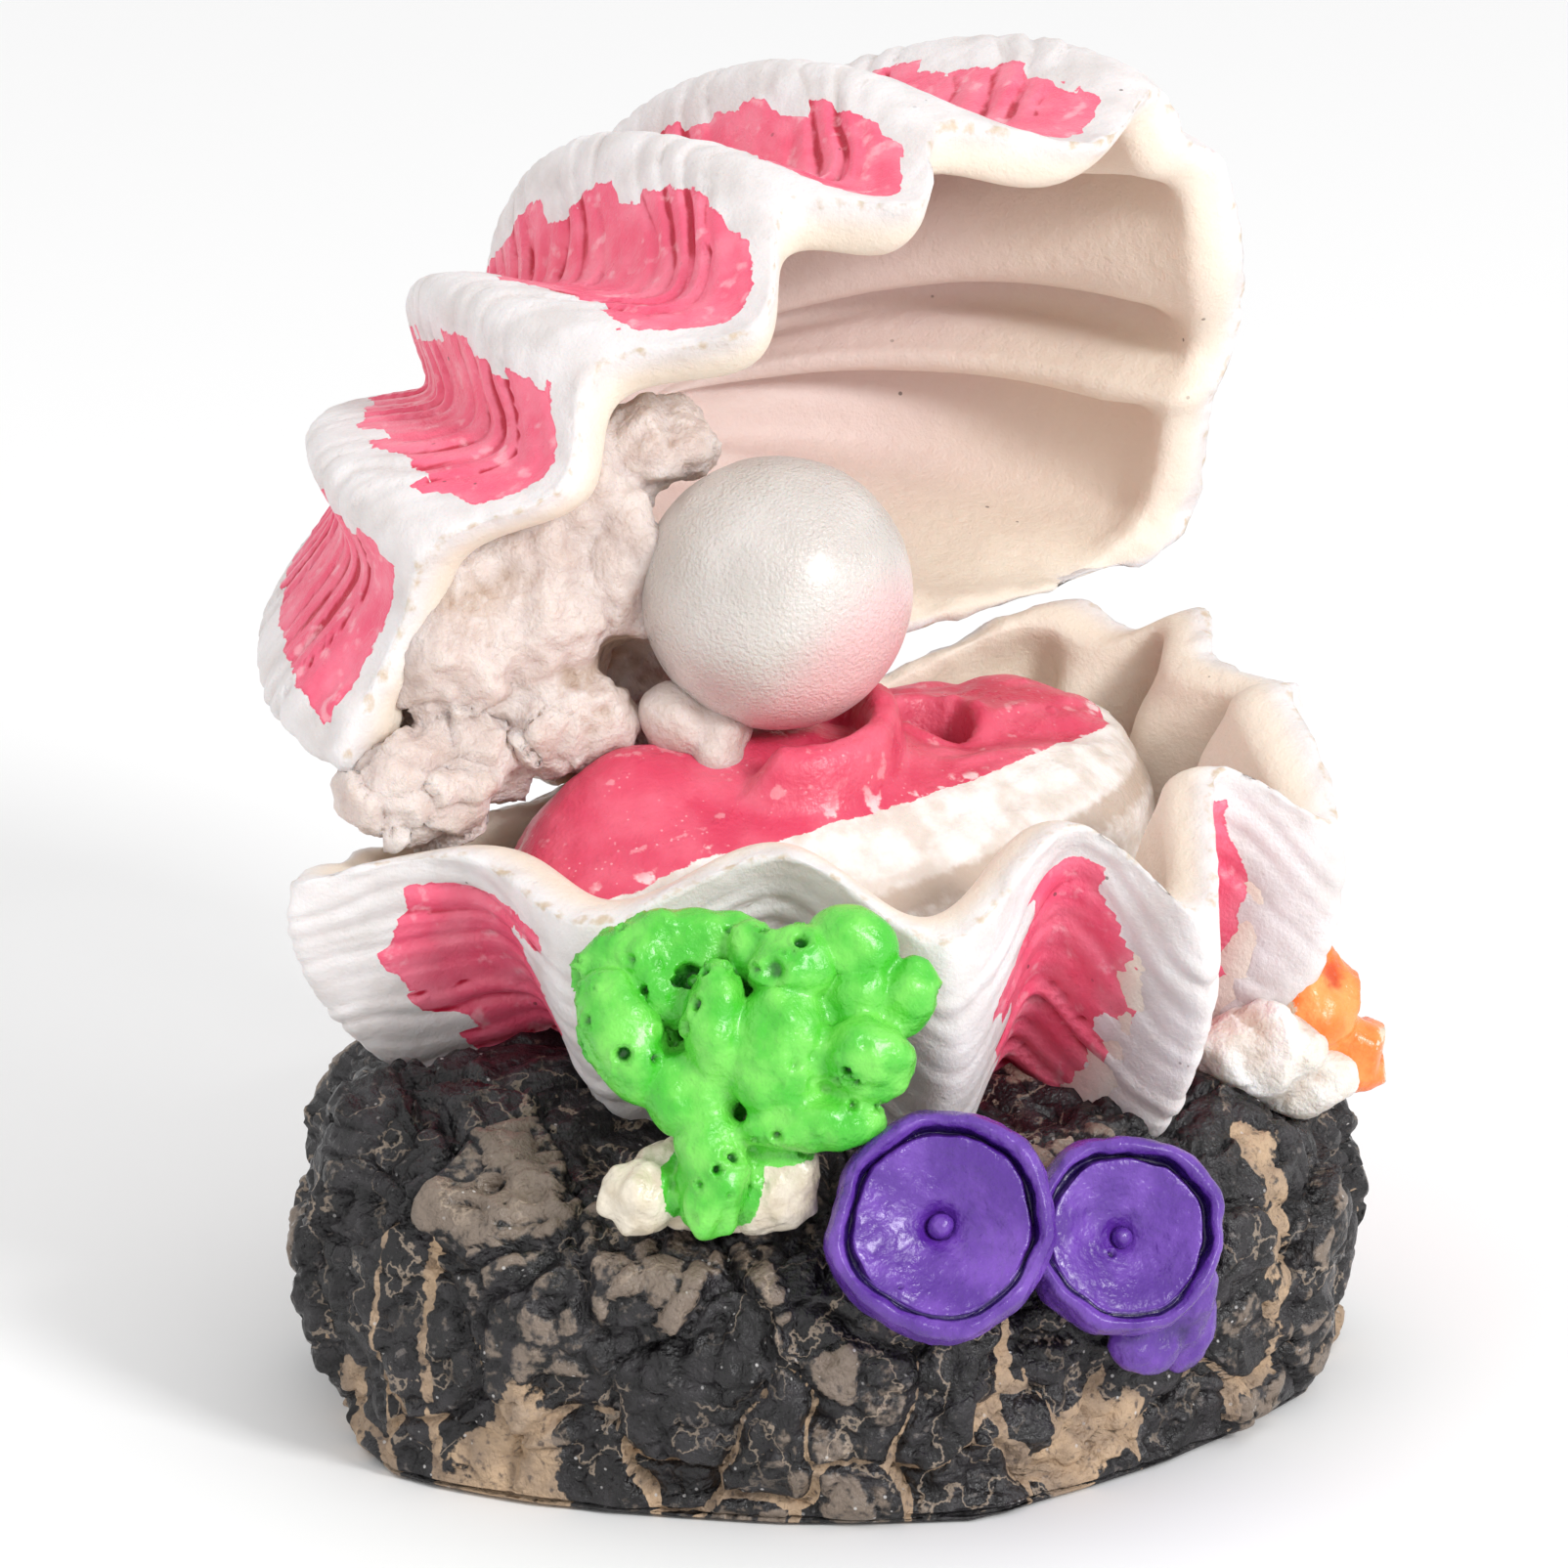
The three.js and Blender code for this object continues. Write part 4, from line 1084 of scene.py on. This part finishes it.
def polyp_shape(polyp, seed):
    r = polyp["radius"]
    steps = np.linspace(0.15, len(POLYP_PROFILE) - 1.1, 150)
    known = np.arange(len(POLYP_PROFILE))
    radius, height = (softened(np.interp(steps, known, POLYP_PROFILE[:, k]), 6, 8) for k in (0, 1))
    around = 220
    turn = circle_of(around)[None]
    circle = np.stack([np.cos(turn), np.sin(turn), 0 * turn], -1)[0]
    wobble = 1 + 0.09 * noise(circle * 1.6, 1.0, seed) + 0.04 * noise(circle * 4, 1.0, seed + 1)
    uneven = 0.35 * noise(circle * 1.3, 1.0, seed + 2)
    out = radius[:, None] * r * lerp(1.0, wobble, smooth(0.3, 1.0, radius)[:, None])
    in_groove = bell(radius, 0.797, 0.028) * (height > 0.5)
    open_groove = smooth(-0.75, 0.1, np.sin(turn) + 0.5 * noise(circle * 2, 1.0, seed + 7))
    lift = height[:, None] + uneven * smooth(0.75, 0.95, radius)[:, None] * (height > 0)[:, None]
    lift = lift + 0.75 * in_groove[:, None] * (1 - open_groove)
    shape = wrapped(round_axis(out, turn, lift, polyp["axis"]) + np.array(polyp["at"]))
    p = shape.verts
    relief = 0.12 * noise(p, 1.6, seed + 3) + 0.07 * fractal(p, 0.6, 2, seed + 4)
    holes = 0.22 * pits(p, 1.9, 0.24, 0.35, seed + 5)
    shape.push(relief + holes)
    inner = on_rings(radius[:, None] + 0 * turn)
    level = on_rings(height[:, None] + 0 * turn)
    crease = bell(inner, 0.81, 0.03) * (level > 0.5)
    bare_rim = smooth(0.45, 0.9, noise(p, 2.5, seed + 6)) * smooth(0.82, 0.9, inner)
    shape.mark("paint", np.clip(1.5 - 2.0 * bare_rim - 2.6 * smooth(-1.0, -2.4, level), -2, 2))
    # The ridge mark drops in the pits and in the crease inside the rim, where the purple darkens: painted
    # shade.
    shape.mark("ridge", np.clip(0.6 + 2.5 * holes - 0.9 * crease + relief, -0.5, 1))
    return shape


def button_shape(polyp, seed):
    b = polyp["button"]
    at = np.array(polyp["at"]) + local_axes(polyp["axis"])[2] * BUTTON_RISE
    down = np.linspace(0, np.pi, 42)[1:-1, None]
    turn = circle_of(60)[None]
    out = 0.62 * b * np.sin(down) ** 0.8
    shape = wrapped(round_axis(out, turn, 0.75 * np.cos(down) + 0 * turn, polyp["axis"]) + at)
    shape.push(0.06 * noise(shape.verts, 0.7, seed))
    shape.mark("paint", 1.5)
    shape.mark("ridge", 0.8)
    return shape


for number, polyp in enumerate(POLYPS):
    name = polyp["name"]
    cup = polyp_shape(polyp, 150 + 20 * number)
    bead = button_shape(polyp, 190 + number)
    make(name + "_cup", cup, purple, [name])
    make(name + "_bead", bead, purple, [name + "_button"])

# A blob: its middle, its half sizes and its turn about Z.
DRIP = [
    ([1.9, -23.6, 9.8], [2.4, 1.5, 3.2], -40),
    ([3.2, -23.2, 8.2], [1.7, 1.2, 3.2], -30),
    ([0.4, -23.8, 7.6], [2.0, 1.1, 1.6], -20),
]


def drip_shape():
    shape = fused([ball(*blob) for blob in DRIP], 0.2, 4)
    p = shape.verts
    relief = 0.35 * noise(p * [1, 1, 0.6], 1.5, 201) + 0.12 * fractal(p, 0.6, 2, 202)
    shape.push(relief)
    shape.mark("paint", 1.2)
    # The ridge mark is low in the hollows, where the purple darkens: painted shade.
    shape.mark("ridge", np.clip(0.5 + relief, 0, 1))
    return shape


make("polyp_drip_run", drip_shape(), purple, ["polyp_drip"])


# ---- Orange coral and its resin web ----
ORANGE_AT = np.array([19.2, -15.4, 18.2])
ORANGE = [
    ([19.0, -15.3, 18.8], [2.4, 2.8, 3.4], -40),
    ([20.6, -16.4, 16.4], [2.0, 2.0, 2.2], -40),
]
WEB = [
    ([15.0, -15.8, 17.4], [3.4, 1.8, 2.6], -40),
    ([17.2, -16.6, 15.6], [2.8, 1.4, 1.8], -40),
]


def rough_blob(blobs, seed):
    shape = fused([ball(*blob) for blob in blobs], 0.22, 3)
    p = shape.verts
    value = cells(p + 0.4 * noise(p, 1.2, seed)[:, None], 1.9, seed + 1)[2]
    relief = 0.25 - np.abs(noise(p, 2.6, seed + 3)) * 0.8 + 0.1 * value + 0.25 * fractal(p, 1.3, 4, seed + 5)
    shape.push(relief)
    # The ridge mark is low in the hollows, which the finish darkens as painted shade.
    shape.mark("ridge", np.clip(0.5 + relief, 0, 1))
    return shape


def orange_shape():
    """Rough resin with its paint thinning out to each side."""
    shape = rough_blob(ORANGE, 211)
    across = (shape.verts - ORANGE_AT) @ RIGHT
    paint = 1.2 - np.abs(across - 0.8) * 0.55 + 0.8 * noise(shape.verts, 2.5, 219)
    shape.mark("paint", np.clip(paint, -2, 2))
    return shape


# Orange tones: main, lighter, and a dark one for painted shade in the hollows.
orange_tones = rgb(255, 120, 36), rgb(255, 158, 84), rgb(206, 74, 14)
orange = coral_finish("orange_paint", *orange_tones, rgb(232, 206, 180))
make("orange_coral_tuft", orange_shape(), orange, ["orange_coral"])
web = resin_finish("web_resin", rgb(240, 236, 232), rgb(222, 212, 200))
make("resin_web_rag", rough_blob(WEB, 231), web, ["resin_web"])

# ---- Air fittings, whose shape is the part's own ----
plastic = plastic_finish()
for node in ("air_tube", "air_nipple"):
    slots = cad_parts[node].data.materials
    for k in range(len(slots)):
        slots[k] = plastic

# ---- Floor and light ----
FLOOR_HALF, FLOOR_DROP = 3000, 0.2
KEY = {"distance": 700, "size": 170, "power": 2.9}
FILL = {"distance": 800, "size": 600, "power": 0.5}
WORLD_STRENGTH = 0.9

half = FLOOR_HALF * MM
corners = [(-half, -half, 0), (half, -half, 0), (half, half, 0), (-half, half, 0)]
floor_mesh = bpy.data.meshes.new("floor")
floor_mesh.from_pydata(corners, [], [(0, 1, 2, 3)])
floor = placed("floor", floor_mesh)
floor.location.z = -FLOOR_DROP * MM
floor_finish = Finish("floor_paper")
floor_mesh.materials.append(floor_finish.done(rgb(246, 246, 246), 0.8))

world = bpy.data.worlds.new("studio")
world.use_nodes = True
background = world.node_tree.nodes["Background"]
background.inputs["Color"].default_value = (1, 1, 1, 1)
background.inputs["Strength"].default_value = WORLD_STRENGTH
bpy.context.scene.world = world
bpy.context.scene.view_settings.view_transform = "Standard"


def softbox(name, direction, distance, size, power):
    """A square light that faces the ornament: distance and size in millimetres, power in watts."""
    data = bpy.data.lights.new(name, "AREA")
    data.size = size * MM
    data.energy = power
    lamp = placed(name, data)
    lamp.location = ((TARGET + unit(np.asarray(direction)) * distance) * MM).tolist()
    look(lamp, TARGET)


softbox("key", 0.61 * RIGHT + 0.30 * UP + 0.73 * BACK, **KEY)
softbox("fill", -0.7 * RIGHT + 0.55 * UP + 0.6 * BACK, **FILL)
